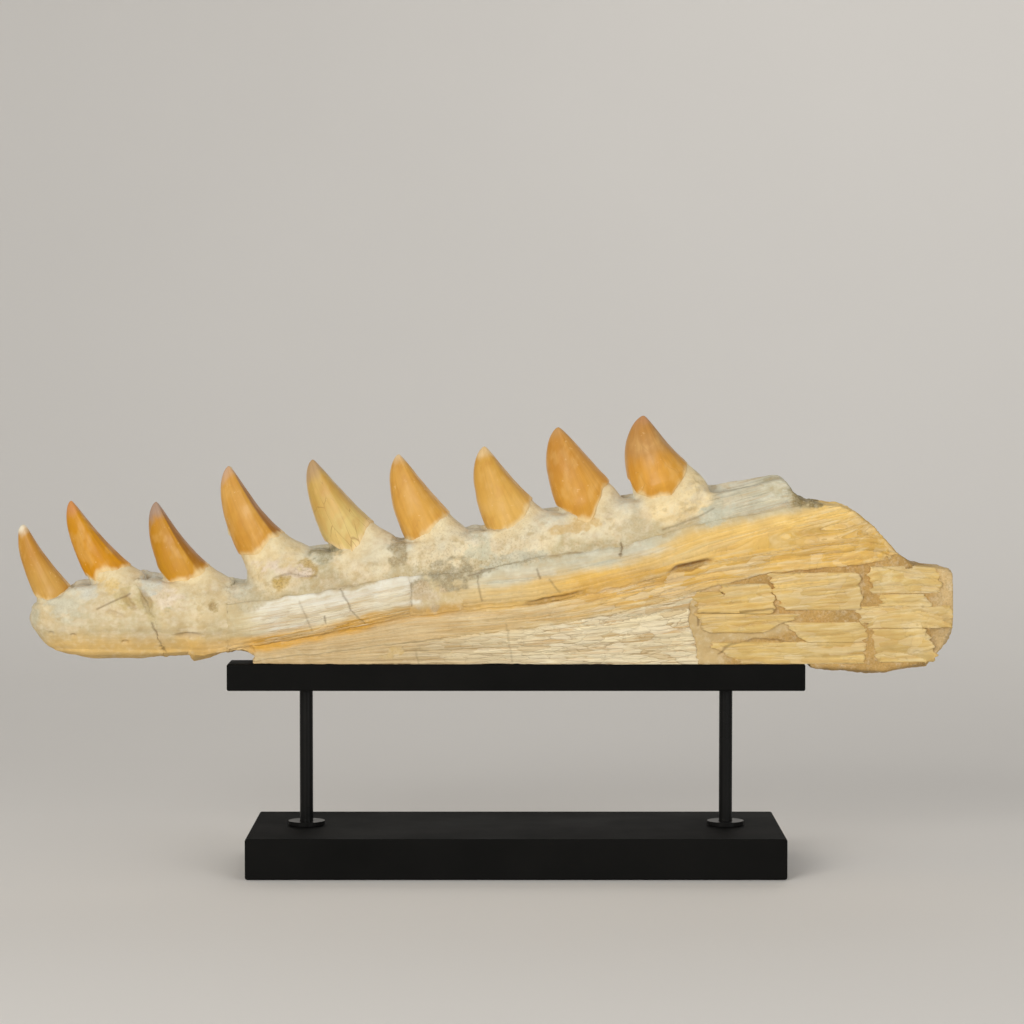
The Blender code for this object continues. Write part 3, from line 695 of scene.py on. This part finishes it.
def zones(points, normals):
    """Share of every zone at every point."""
    rough = points + 2.4 * np.column_stack([layered(points, 13, seed) for seed in (11, 21, 31)])
    x, _, z = rough.T
    at = partial(np.interp, x)
    outer = ramp(-normals[:, 1], -0.35, 0.1)
    above_upper, above_lower, above_slab = (z - height_of(seam, x) for seam in SEAMS)
    behind = ramp(x, JOIN_X - 4, JOIN_X + 4)
    roots = root_mask(x, z)
    row = behind * ramp(above_upper, -1.5, 0.8)
    band = row * ramp(at((-172, -120, -40, 60, 100), (11, 12, 7, 3.5, 2)) - above_upper, -3, 3)
    white = behind * ramp(-above_upper, -1, 1) * ramp(above_lower, 2, 9)
    strip = ramp(-above_upper, -1.5, 1) * ramp(above_upper, -14, -7)
    blue = strip * ramp(x, -38, -20) * ramp(104 - x, 0, 30) * outer
    rear_blue = ramp(above_upper, -1.5, 2) * ramp(x, 104, 122) * ramp(168 - x, 0, 8)
    top = ramp(above_upper, 9, 14) * ramp(points[:, 1], -7, -1)
    # the crest's own pale colour, picked on faces that turn upward, so it also lays painted light where the
    # crest falls in shade
    crest = np.maximum(ramp(normals[:, 2], 0.2, 0.8) * ramp(points[:, 1], 2, 8), top)
    chin = np.maximum(blob(x, z, (-266, 154), (17, 11), -20), blob(x, z, (-293, 154), (12, 14)))
    wall = ramp(above_lower, -1, 1.5) * ramp(-above_upper, 0, 9)
    gold = wall * at((-172, -60, -30, 5, 40, 180, 230), (0, 0.05, 0.25, 0.55, 1, 1, 0.95))
    low_band = behind * ramp(-above_lower, -1, 1.5) * ramp(above_slab, -2, 2)
    low_gold = low_band * at((-172, -60, 20, 100, 230), (0, 0.05, 0.45, 0.95, 0.95))
    seam = behind * ramp(7 - np.abs(above_lower - 1), 0, 6) * at((-60, -10, 60, 90), (0, 0.6, 0.9, 0))
    slab = behind * ramp(-above_slab, -2, 2)
    line = at((-190, -150, -100, -40), (8, 7.5, 6.5, 5))
    line = ramp(line - np.abs(above_lower - at((-170, -110), (0, 1.5))), 0, 4)
    fibres = (
        row * at((60, 110, 150), (0, 0.3, 0.55)) * (1 - roots),
        wall * at((-172, -145, -60, -20, 60, 130, 200), (0.1, 0.7, 0.7, 0.35, 0.3, 0.45, 0.64)),
        low_band * at((-172, -110, -40, 40, 80, 120, 220), (0.15, 0.4, 0.5, 0.65, 0.9, 0.7, 0.6)),
        slab * at((-150, -100, -60, 0, 30), (0.15, 0.35, 0.65, 0.8, 1)),
    )
    return SimpleNamespace(
        outer=outer, root=roots, behind=behind,
        row=row * (1 - roots) * ramp(150 - x, 0, 30),
        matrix=band * outer * (1 - 0.5 * roots),
        white=white * (ramp(-57 - x, -1.5, 1.5) * ramp(x, -165, -142)),
        blue=np.maximum(blue, rear_blue),
        crest=crest * ramp(150 - x, 0, 10) * (1 - 0.3 * roots),
        grey=ramp(chin, 0, 0.5),
        gold=np.maximum.reduce([gold, low_gold, seam]),
        tan=np.maximum(low_band, slab * at((-120, -20, 20), (1, 0.6, 0))),
        slab=slab * at((-60, 10), (0, 1)),
        ochre=line * ramp(x, -200, -172) * at((-100, -60, -20, 10), (1, 0.8, 0.4, 0)),
        keel=ramp(144 - z, 0, 11) * ramp(JOIN_X - x, -20, 4) * ramp(x, -290, -278),
        smooth=np.maximum(ramp(130 - x, 0, 12), ramp(blob(x, z, (138, 145), (38, 9), 5), 0, 0.4)),
        fibre=np.maximum.reduce(fibres),
    )


def islands_of_sand(points, outer):
    """Shares of the sandy patches, one row for each patch."""
    lumpy = 1.3 * layered(points, (6, 6, 4), 101, 5)
    x = points[:, 0] + 2.5 * layered(points, 5, 103, 4)
    z = points[:, 2] + 2.5 * layered(points, 5, 105, 4)
    near = [blob(x, z, middle, reach, tilt) for middle, reach, tilt, _ in SAND_ISLANDS]
    return [ramp(share + lumpy * ramp(share, 0, 0.3), 0, 0.6) * outer for share in near]


def bone_layers(points, share, wobble, rich, fine, worn, near_crown):
    """The bone's colours in the order they are laid on, each after its mask."""
    x, _, z = points.T
    grain = grain_place(*points.T)
    spots = ramp(layered(points, 9, 75), -0.3, 0.4)
    high = ramp(z - height_of(LOWER_SEAM, x), 0, 26)
    deep = ramp(blob(x, z, (60, 171), (50, 9), 12), 0, 0.5)
    flaking = layered(grain, (13, 2.6, 8), 85)
    patches = ramp(layered(grain, (26, 4, 8), 91), -0.35, 0.25)
    flecks = ramp(layered(points, (9, 8, 3), 97), 0, 0.5)
    between = np.zeros(len(x))
    for middle_x, top, _ in SADDLES:
        near = ramp(blob(x, z, (middle_x, top - 2), (12, 9)), 0, 0.6)
        between = np.maximum(between, near)
    gold, white, blue, ochre, behind = share.gold, share.white, share.blue, share.ochre, share.behind
    root = share.root * (1 - 0.6 * share.matrix)
    return [
        (0.5 * wobble, (213, 200, 163)), (0.25 * spots * (1 - behind), (214, 180, 120)),
        (share.keel * (0.6 + 0.35 * wobble), (230, 185, 96)), (share.tan, (212, 186, 140)),
        (share.slab, PALE_SLAB), (gold * 0.6, PALE_GOLD), (gold * (0.35 + 0.6 * rich), GOLD),
        (gold * high * 0.9 * ramp(x, 60, 120), (250, 214, 134)), (gold * deep * 0.6, (220, 170, 76)),
        (white * (0.25 + 0.6 * high + 0.15 * spots), WHITE_BONE),
        (white * 0.7 * ramp(flaking, 0.05, 0.4), (238, 237, 226)),
        (white * 0.5 * ramp(-flaking, 0.1, 0.45), (202, 182, 140)), (share.row * 0.85, (196, 184, 148)),
        (share.matrix * 0.8, GREY_MATRIX), (blue * (0.55 + 0.4 * patches), BLUE_BONE),
        (blue * 0.6 * flecks * ramp(168 - x, 0, 10), (222, 218, 198)), (root * 0.9, (228, 208, 164)),
        (root * 0.7 * spots, (226, 216, 184)),
        (root * 0.25 * ramp(-layered(points, 8, 79), -0.1, 0.4), (218, 188, 134)),
        (root * (1 - behind) * 0.5, (206, 190, 154)),
        (root * behind * 0.35 * ramp(x, -120, -90), (224, 217, 194)),
        (root * 0.7 * ramp(x, 70, 84), (250, 225, 170)), (near_crown * 0.5, (236, 216, 170)),
        (share.grey * (0.4 + 0.5 * spots), (194, 190, 166)),
        # crest: its own pale colour, and painted light on its upward faces
        (share.crest * (1 - near_crown) * 0.85, (222, 220, 204)), (ochre * (0.6 + 0.4 * wobble), OCHRE),
        (ochre * 0.7 * ramp(-152 - x, 0, 14), (234, 203, 146)),
        (between * (0.55 + 0.5 * fine), (212, 215, 203)),
        (worn * 0.4 * ramp(fine, 0.15, 0.4), (184, 160, 114)),
        (worn * 0.4 * ramp(layered(points, (6, 6, 4), 99, 5), 0.05, 0.25), (224, 208, 178)),
        (worn * 0.3 * ramp(-fine, 0.1, 0.6), (232, 223, 198)),
    ]


def bone_tints(points, share, kind, sand, shade):
    """Colours of the zones, with the painted shade and light of splinters."""
    x = points[:, 0]
    wobble = ramp(layered(points, 22, 71), -0.4, 0.5)
    rich = ramp(layered(grain_place(*points.T), (70, 5, 14), 81), -0.5, 0.2)
    fine = layered(points, (4, 4, 3), 93, 4)
    near_crown = crown_mask(x, points[:, 2], -0.22, -0.04)
    worn = np.clip(share.row + share.root + (x < JOIN_X), 0, 1)
    worn = worn * (1 - near_crown) * (1 - share.keel)
    if kind == "matrix":
        base = (194, 156, 92)
        layers = [
            (wobble * 0.7, (172, 138, 80)),
            (share.smooth, (205, 179, 129)),
            (ramp(x, 244, 254) * 0.7, (214, 188, 140)),
        ]
    elif kind == "plate":
        base = (226, 195, 124)
        layers = [(rich * 0.5, (213, 176, 102)), (ramp(x, 150, 170) * 0.25, (218, 194, 136))]
    else:
        base = (203, 187, 148)
        layers = bone_layers(points, share, wobble, rich, fine, worn, near_crown)
    for patch, island in zip(sand, SAND_ISLANDS):
        layers.append((patch * (0.8 + 0.4 * fine), island[-1]))
    # painted shade in the hollows, darkest under their upper edges
    layers.append((share.hollow, HOLLOW_SHADE))
    shade = shade + 0.07 * worn * layered(points, (6, 6, 4), 95, 4)
    return coat(base, len(points), layers, np.clip(1 + shade, 0.4, 1.4)[:, None])


def splinters(grain, width, length, seed):
    """Overlapping splinters: rise from 0 to 1, a value for each, nearness of edges."""
    x, across = grain[:, 0], grain[:, 1] + 0.5 * grain[:, 2]
    phase = across / width + 0.7 * layered(grain, (24 * width, 5 * width, 5 * width), seed)
    strip = np.floor(phase)
    rise = phase - strip
    run = x / length + 7 * chance(strip, strip * 0, seed + 4) + 0.3 * noise(grain, 4, seed + 5)
    block = np.floor(run)
    value = chance(strip, block, seed + 6)
    edge = np.minimum(rise * width, np.minimum(run - block, block + 1 - run) * length * 1.3)
    return rise, value, ramp(1.1 - edge, 0, 0.9)


def relief(points, share, kind, sand):
    """Outward shift in millimetres, painted shade and tone, cracks and painted shadow lines, fibres and
    grit of every point.
    """
    x, y, z = points.T
    grain = grain_place(x, y, z)
    outer = share.outer
    fibre = np.full(len(x), PLAIN_FIBRE[kind]) if kind in PLAIN_FIBRE else share.fibre
    sandy = 0.35 + 0.65 * ramp(50 - np.abs(x + 25), 0, 30)
    grit = np.clip(0.6 * share.row + 0.5 * share.root + share.matrix, 0, 1) * sandy
    grit = (0.05 + 0.95 * grit) * (1 - 0.7 * fibre)
    if kind in ("matrix", "patch"):
        grit = 0.8 - 0.6 * share.smooth
    for patch, island in zip(sand, SAND_ISLANDS):
        grit = np.maximum(grit, (0.95 if sum(island[-1]) < DARK_ISLAND else 0.35) * patch)
        fibre = fibre * (1 - patch)

    lift = 0.25 + 0.45 * layered(points, 24, 1) + 0.2 * layered(points, 7, 5, 2)
    shade = np.zeros(len(x))
    for width, length, height, seed in ((5.2, 70, 0.75, 41), (2.6, 32, 0.5, 51)):
        rise, value, edge = splinters(grain, width, length, seed)
        strength = fibre * ramp(layered(grain, (50, 9, 20), seed + 7, 2), -0.45, 0.1)
        strength = strength * (1 - 0.7 * share.white)
        lift += strength * height * (0.75 * (rise - 0.5) + 1.1 * (value - 0.5) - 0.5 * edge)
        # painted shade at each splinter's edges and painted light rising toward its lip, with a random tone
        # of its own
        shade += strength * (0.2 * (value - 0.5) + 0.12 * (rise - 0.5) - 0.2 * edge)
    lift += grit * (0.3 * layered(points, 3.2, 61, 2) + 0.12 * noise(points, 1.5, 65))
    shade += 0.12 * grit * layered(points, 4, 63, 2)

    jitter = 0.7 * layered(points, 4, 77, 2)
    # cracks and painted shadow lines, darkened in colour and sunk a little
    crack = np.zeros(len(x))
    for strength, line in CRACKS_AND_SHADOW_LINES:
        distance = line_distance(x + 0.5 * jitter, z + 0.3 * jitter, line)
        crack = np.maximum(crack, ramp(0.9 - distance, 0, 0.8) * outer * strength)
    lift -= 0.7 * crack
    share.hollow = np.zeros(len(x))
    wave = layered(points, (18, 7, 7), 83, 2)
    lumpy = 1 + 0.6 * layered(points, 6, 87)
    for middle, reach, tilt, depth, dark in HOLLOWS:
        spot = blob(x, z + 0.5 * wave, middle, reach, tilt) * (1 if dark > 0.5 else lumpy)
        hole = ramp(spot, 0, 0.7) * outer
        lift -= depth * hole
        fibre = fibre * (1 - hole)
        # painted shade in each hollow, darkest under its upper edge
        rise = (z - middle[1]) - (x - middle[0]) * np.tan(radians(tilt))
        shade_under_edge = 0.45 + 0.55 * ramp(rise / reach[1], -0.5, 0.6)
        share.hollow = np.maximum(share.hollow, dark * ramp(spot, 0, 0.4) * outer * shade_under_edge)

    upper, lower = height_of(UPPER_SEAM, x), height_of(LOWER_SEAM, x)
    above_upper, above_lower = z - upper, z - lower
    roll = np.clip(above_lower / (upper - lower), 0, 1)
    swell = np.sin(pi * roll ** 0.75) * ramp(x, JOIN_X - 4, JOIN_X + 14) * ramp(150 - x, 0, 80)
    lift += outer * 1.6 * swell
    groove = ramp(6 - np.abs(above_lower + 1), 0, 6) * ramp(120 - x, 0, 60)
    lift -= outer * 0.9 * groove * ramp(x, -178, -150)
    band = ramp(above_upper, -2, 1) * ramp(12 - above_upper, 0, 5) * share.matrix
    lift -= band * outer
    return lift, shade, crack, fibre, grit


def break_distance(x, z):
    """Distance of points from the nearest break of the outer side."""
    seams = [np.abs(z - height_of(seam, x)) for seam in SEAMS]
    return np.minimum.reduce(seams + [np.abs(x - JOIN_X), line_distance(x, z, SANDY_CRACK)])


def break_nearness(points):
    """1 beside the breaks and at the broken rear end, 0 elsewhere."""
    x, _, z = points.T
    return np.maximum(ramp(6 - break_distance(x, z), 0, 4), ramp(x, 236, 250))


def cut_faces(points, normals, kind):
    """1 on the faces and edges of the breaks, where parts meet sideways."""
    x, _, z = points.T
    near = break_distance(x, z)
    level = ramp(0.97 - np.abs(normals[:, 1]), 0, 0.3)
    if kind in ("plate", "patch"):
        return level
    if kind == "matrix":
        return level * ramp(x, 96, 98) * ramp(256 - x, 0, 4) * ramp(z, 122, 125)
    return level * ramp(2 - near, 0, 1)


def longer_ends(points, before):
    """Draw a plate's ends out along the grain to an uneven break."""
    x, _, z = before.T
    levels = 12
    level = (z - z.min()) / (z.max() - z.min())
    place = np.minimum((level * levels).astype(np.int64), levels - 1)
    middles = (np.arange(levels) + 0.5) / levels
    moved = points.copy()
    for direction in (-1, 1):
        ends = np.full(levels, -1e9)
        np.maximum.at(ends, place, x * direction)
        straight = np.polyval(np.polyfit(middles[4:8], ends[4:8], 1), level)
        short = np.maximum(straight - np.interp(level, middles, ends), 0)
        near = ramp(x * direction - straight + short, -14, -2)
        uneven = 1.4 + 2.6 * noise(points, (90, 30, 1.8), 231 + int(direction))
        moved[:, 0] += direction * near * (0.9 * short + np.maximum(uneven, 0))
    return moved


def ragged(points, near_break):
    """Shift points along the flanks, so that straight breaks turn ragged."""
    much = (0.15 + 0.85 * ramp(points[:, 0], -235, -205)) * (0.3 + 0.7 * near_break)
    fine = 1.3 * layered(points * (0.25, 1, 1), 2.4, 221, 2) * much
    moved = points.copy()
    moved[:, 0] += layered(points, 9, 201) * much + fine
    moved[:, 2] += layered(points, 8, 211) * much
    return moved


def keep_in_place(points, before):
    """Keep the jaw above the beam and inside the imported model's box."""
    low, high = cad_box
    over_beam = (points[:, 0] > -178) & (points[:, 0] < 176) & (before[:, 2] < BEAM_TOP + 6)
    points[:, 2] = np.where(over_beam, np.maximum(points[:, 2], BEAM_TOP + 0.1), points[:, 2])
    points[:, 0] = np.clip(points[:, 0], low[0] / MM + 0.05, high[0] / MM - 0.05)
    points[:, 2] = np.clip(points[:, 2], low[2] / MM, high[2] / MM - 0.05)
    return points


def rounded_points(mesh, points, kind):
    """Wear roots, top and chin round, and leave the breaks sharp."""
    x, _, z = points.T
    apart = ramp(np.minimum(np.abs(x - JOIN_X), line_distance(x, z, SANDY_CRACK)), 0.5, 5)
    chin = ramp(146 - z, 0, 8) * ramp(-204 - x, 0, 8) * apart
    worn = np.maximum(root_mask(x, z), rounded_mask(x, z)) * apart
    evened = smooth_points(mesh, points.copy(), 50, 0.5)
    points = points + worn[:, None] * (evened - points)
    if kind == "tip":
        evened = smooth_points(mesh, evened, 160, 0.5)
        points = points + chin[:, None] * (evened - points)
    return points


def jaw_surface(name, nodes, kind, material, teeth=()):
    """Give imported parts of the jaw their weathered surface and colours."""
    shells = [root_skirt(TEETH[k], SKIRT_FLARE[k]) for k in teeth]
    shells += [saddle(*SADDLES[k - 1]) for k in teeth if k]
    piece = dense_copy(name, nodes, VOXEL, shells)
    mesh = piece.data
    before = read_rows(mesh.vertices, "co") / MM
    points = smooth_points(mesh, before.copy(), 2, 0.5)
    if teeth:
        points = rounded_points(mesh, points, kind)
    write_points(mesh, points)
    normals = read_rows(mesh.vertex_normals, "vector")
    share = zones(points, normals)
    sand = islands_of_sand(points, share.outer)
    lift, shade, crack, fibre, grit = relief(points, share, kind, sand)
    cut = cut_faces(points, normals, kind)
    x, _, z = points.T
    lift = lift * (1 - 0.85 * crown_mask(x, z, -0.16, -0.02))
    covered = crown_mask(x, z, 0, 0.05)
    lift = lift * (1 - covered) - 1.2 * covered
    if kind == "matrix":
        lift = lift + 1.3 + 1.3 * layered(points, 10, 111)
    facing = np.abs(normals[:, 1])
    lift = lift * (1 - cut * (1 - ramp(facing, 0.2, 0.8)))
    sideways = normals * (1, 0, 1)
    sideways /= np.maximum(np.linalg.norm(sideways, axis=1), 0.05)[:, None]
    colours = bone_tints(points, share, kind, sand, shade)
    shaped = points + normals * lift[:, None] + sideways * (0.8 * cut)[:, None]
    shaped[:, 1] += 0.4 * np.sign(normals[:, 1]) * cut * ramp(facing, 0.2, 0.6)
    if kind == "plate":
        shaped = longer_ends(shaped, before)
    shaped = keep_in_place(ragged(shaped, break_nearness(points)), before)
    write_points(mesh, shaped)
    store(mesh, tint=colours, grain=grain_place(*shaped.T), fibre=fibre, grit=grit, crack=crack)
    mesh.shade_smooth()
    mesh.materials.append(material)
    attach(piece, "root")
    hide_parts(*nodes)
    return piece


# ---- tooth crowns ----
CROWN_SIDES = 96
CROWN_ROWS = 88
TUCKED_ROWS = (-0.07, -0.03)        # rows below the enamel's edge, as shares of the crown's length
LAST_ROW = 0.9985
# base, middle and tip colour, where the tip's colour starts, painted shade of the rear facet (painted light
# where below 0), the facet's edge from the tooth's axis (0) to its rear edge (1), cracks, painted highlight
# on the front edge, blunt tip
CROWN_LOOKS = (
    ((200, 154, 74), (192, 138, 52), (238, 230, 208), 0.95, 0.1, 0.8, 0.05, 0.15, 2),
    ((208, 142, 14), (204, 141, 20), (204, 140, 80), 0.88, 0.45, 0.8, 0.1, 0.3, 0.6),
    ((200, 143, 34), (192, 135, 32), (172, 144, 124), 0.84, 0.85, 0.42, 0.15, 0.1, 0.5),
    ((204, 148, 56), (208, 154, 66), (206, 168, 134), 0.93, 0.95, 0.55, 0.15, 0.1, 0.4),
    ((214, 190, 120), (201, 166, 90), (186, 154, 112), 0.86, 0.1, 0.8, 0.8, 0.5, 0.5),
    ((216, 164, 74), (212, 160, 74), (222, 196, 156), 0.93, 0, 0.8, 0.15, 0.5, 0.5),
    ((220, 174, 88), (213, 164, 76), (228, 196, 144), 0.92, 0.05, 0.8, 0.1, 0.4, 0.5),
    ((210, 153, 60), (200, 141, 56), (204, 156, 96), 0.9, -0.2, 0.3, 0.15, 0.4, 0.6),
    ((216, 157, 60), (192, 142, 78), (196, 144, 96), 0.88, 0.2, 0.75, 0.35, 0.3, 0.8),
)


def crown_ring(sizes, up, angles, blunt):
    """Points of one level of a tooth, above or below the base of its crown."""
    (base_x, base_z), _, front, rear, _ = sizes
    length, lean_x, lean_z = tooth_axis(sizes)
    half_depth = CROWN_DEPTH * 0.5 * (front + rear)
    above = np.maximum(up, 0)
    below = np.maximum(-up, 0) * length
    deep = np.maximum(1 - above ** 2, 0) ** 0.75
    deeper = height_of(BASE_DEEPER, -up * length)
    cap = blunt * (1 - above ** 30) ** 0.5 * above
    reach = np.hypot(tooth_reach(up, length, sizes, np.cos(angles) > 0), cap) * np.cos(angles)
    inward = np.hypot(half_depth * deep * deeper, cap) * np.sin(angles) + TIP_INWARD * above ** 2
    middle_x = base_x + lean_x * length * above - lean_x * ROOT_LEAN * below
    middle_z = base_z + lean_z * length * above - below
    return np.column_stack((middle_x + lean_z * reach, inward, middle_z - lean_x * reach))


def around(angles, radius, levels):
    """Places on a tube, for noise that meets itself where the turn closes."""
    return np.column_stack((radius * np.cos(angles), radius * np.sin(angles), levels))


def ridge_line(angles, middle, width):
    """1 along a line up the crown, fading out to both sides of it."""
    return np.exp(-((angles - middle) / width) ** 2)


def crown_tints(look, points, levels, angles, row_of, ridge_angle):
    """Enamel colours, with the rear facet's painted shade (painted light on some teeth), a painted
    highlight on the front edge and the base's rim.
    """
    base, middle, tip, tip_start, facet_shade, _, _, front_highlight, _ = look
    mottle = layered(points, (5, 5, 9), 331)
    facet_shade_mask = ramp(angles, ridge_angle - 0.04, ridge_angle + 0.16) * ramp(levels, 0.04, 0.2)
    facet_shade_mask = facet_shade_mask * ramp(-levels, -0.96, -0.8)
    return coat(base, len(points), (
        (ramp(levels + 0.15 * mottle, 0.2, 0.6), middle),
        (0.3 * ramp(mottle, 0, 0.5), (228, 186, 116)),
        (0.3 * ramp(-mottle, 0, 0.5), (194, 132, 50)),
        (ramp(levels + 0.1 * mottle, tip_start - 0.1, tip_start + 0.06), tip),
        # painted shade on the rear facet, which turns away from the light, and painted light on it where
        # the value is below 0
        (0.7 * max(facet_shade, 0) * facet_shade_mask, (140, 84, 30)),
        (max(-facet_shade, 0) * facet_shade_mask, (232, 184, 112)),
        # painted highlight along the front edge, where it catches the light
        (front_highlight * (ridge_line(angles, pi, 0.22) * ramp(levels, 0.1, 0.4)), (244, 224, 184)),
        (ramp(0.06 + 0.06 * mottle - row_of, 0, 0.08), (232, 204, 150)),
    ))


def crown(index, sizes, edge_line, look, material):
    """One enamel crown with carinae, faint facets, streaks and fine cracks."""
    facet_shade, facet, cracked, _, blunt = look[4:]
    ridge_angle = 2 * pi - float(np.arccos(facet))
    turn = full_turn(CROWN_SIDES)
    edge = height_of(edge_line, np.cos(turn))
    edge = edge + 0.03 * layered(around(turn, 3, np.full(CROWN_SIDES, index * 7.3)), 1, 301, 4)
    rows = 1 - (1 - np.linspace(0, 1, CROWN_ROWS)[:-1]) ** 1.3
    rows = np.concatenate((TUCKED_ROWS, rows, (LAST_ROW,)))
    levels = [edge + row * (1 - edge) for row in rows]
    points = np.concatenate([crown_ring(sizes, np.minimum(up, 0.9992), turn, blunt) for up in levels])
    levels = np.concatenate(levels)
    angles = np.tile(turn, len(rows))
    row_of = np.repeat(rows, CROWN_SIDES)

    middles = points.reshape(len(rows), CROWN_SIDES, 3).mean(axis=1).repeat(CROWN_SIDES, axis=0)
    away = points - middles
    facets = 0.006 * np.cos(angles * 7 + index) * np.clip(1 - levels, 0, 1) ** 0.5
    from_rear = np.minimum(angles, 2 * pi - angles)
    carina = 0.022 * (ridge_line(angles, pi, 0.09) + ridge_line(from_rear, 0, 0.09))
    ridge = 0.04 * ridge_line(angles, ridge_angle, 0.12) * abs(facet_shade)
    place = around(angles, 4, levels * 1.4 + index * 5.1)
    dents = 0.012 * layered(place, 0.6, 311) + 0.022 * layered(points, 9, 321, 2)
    swell = 1 + facets + carina + ridge + dents - ramp(-row_of, 0, 0.05) * 0.12
    points = middles + away * swell[:, None]
    points = np.vstack((points, points[-CROWN_SIDES:].mean(axis=0)))
    points[:, 0] = np.maximum(points[:, 0], cad_box[0][0] / MM + 0.05)
    points[:, 2] = np.minimum(points[:, 2], cad_box[1][2] / MM - 0.05)

    faces = []
    for first in range(0, (len(rows) - 1) * CROWN_SIDES, CROWN_SIDES):
        for k in range(CROWN_SIDES):
            beside = (k + 1) % CROWN_SIDES
            faces.append((first + k, first + CROWN_SIDES + k, first + CROWN_SIDES + beside, first + beside))
    last = (len(rows) - 1) * CROWN_SIDES
    faces.extend((last + k, len(points) - 1, last + (k + 1) % CROWN_SIDES) for k in range(CROWN_SIDES))
    faces.append(tuple(range(CROWN_SIDES)))
    piece = new_piece(f"crown_{index + 1}", points * MM, faces)

    levels, angles, row_of = np.append(levels, 1), np.append(angles, 0), np.append(row_of, 1)
    mesh = piece.data
    grain = around(angles, 4, levels * 1.1 + index * 5.1) * 1.6
    web = around(angles, 2.2, levels * 2.4 + index * 3.7)
    web[:, 2] += 0.3 * layered(web, 1.1, 341, 2)
    tint = crown_tints(look, points, levels, angles, row_of, ridge_angle)
    store(mesh, tint=tint, grain=grain, web=web, cracked=np.full(len(points), cracked))
    mesh.materials.append(material)
    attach(piece, "root")
    return piece


# ---- assembly ----
JAW_PIECES = (
    ("jaw_tip", "tip", "bone", (0, 1)),
    ("jaw_front", "tip", "bone", (2,)),
    ("tooth_row", "row", "bone", (3, 4, 5, 6, 7, 8)),
    ("outer_slab_front", "wall", "pale_bone", ()),
    ("matrix_patch", "patch", "matrix", ()),
    ("outer_slab_rear", "wall", "gold_bone", ()),
    ("lower_band", "wall", "gold_bone", ()),
    ("lower_slab", "wall", "pale_bone", ()),
    ("rear_matrix", "matrix", "matrix", ()),
    ("splenial", "splenial", "bone", ()),
)
PLATE_COUNT = 10
FOSSIL_SLOTS = ("bone", "pale_bone", "gold_bone", "matrix")


def dress_jaw():
    """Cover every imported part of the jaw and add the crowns."""
    materials = {name: fossil_material(f"fossil_{name}") for name in FOSSIL_SLOTS}
    for name, kind, slot_name, teeth in JAW_PIECES:
        nodes = sorted(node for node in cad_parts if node.startswith(name))
        jaw_surface(f"{name}_surface", nodes, kind, materials[slot_name], teeth)
    for number in range(1, PLATE_COUNT + 1):
        node = f"bone_plate_{number}"
        jaw_surface(f"{node}_surface", [node], "plate", materials["pale_bone"])
    enamel = enamel_material()
    for index, (sizes, edges, look) in enumerate(zip(TEETH, CROWN_EDGE, CROWN_LOOKS)):
        crown(index, sizes, edges, look, enamel)


def dress_stand():
    """Finish the stand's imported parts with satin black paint."""
    wood = paint_material("painted_wood", 0.6, 0.75, 220, 0.03)
    steel = paint_material("painted_steel", 0.22, 0.34, 700, 0.1)
    for node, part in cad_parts.items():
        if node.startswith("stand_"):
            part.data.materials.clear()
            part.data.materials.append(wood if node in ("stand_base", "stand_beam") else steel)


make_stage()
dress_jaw()
dress_stand()
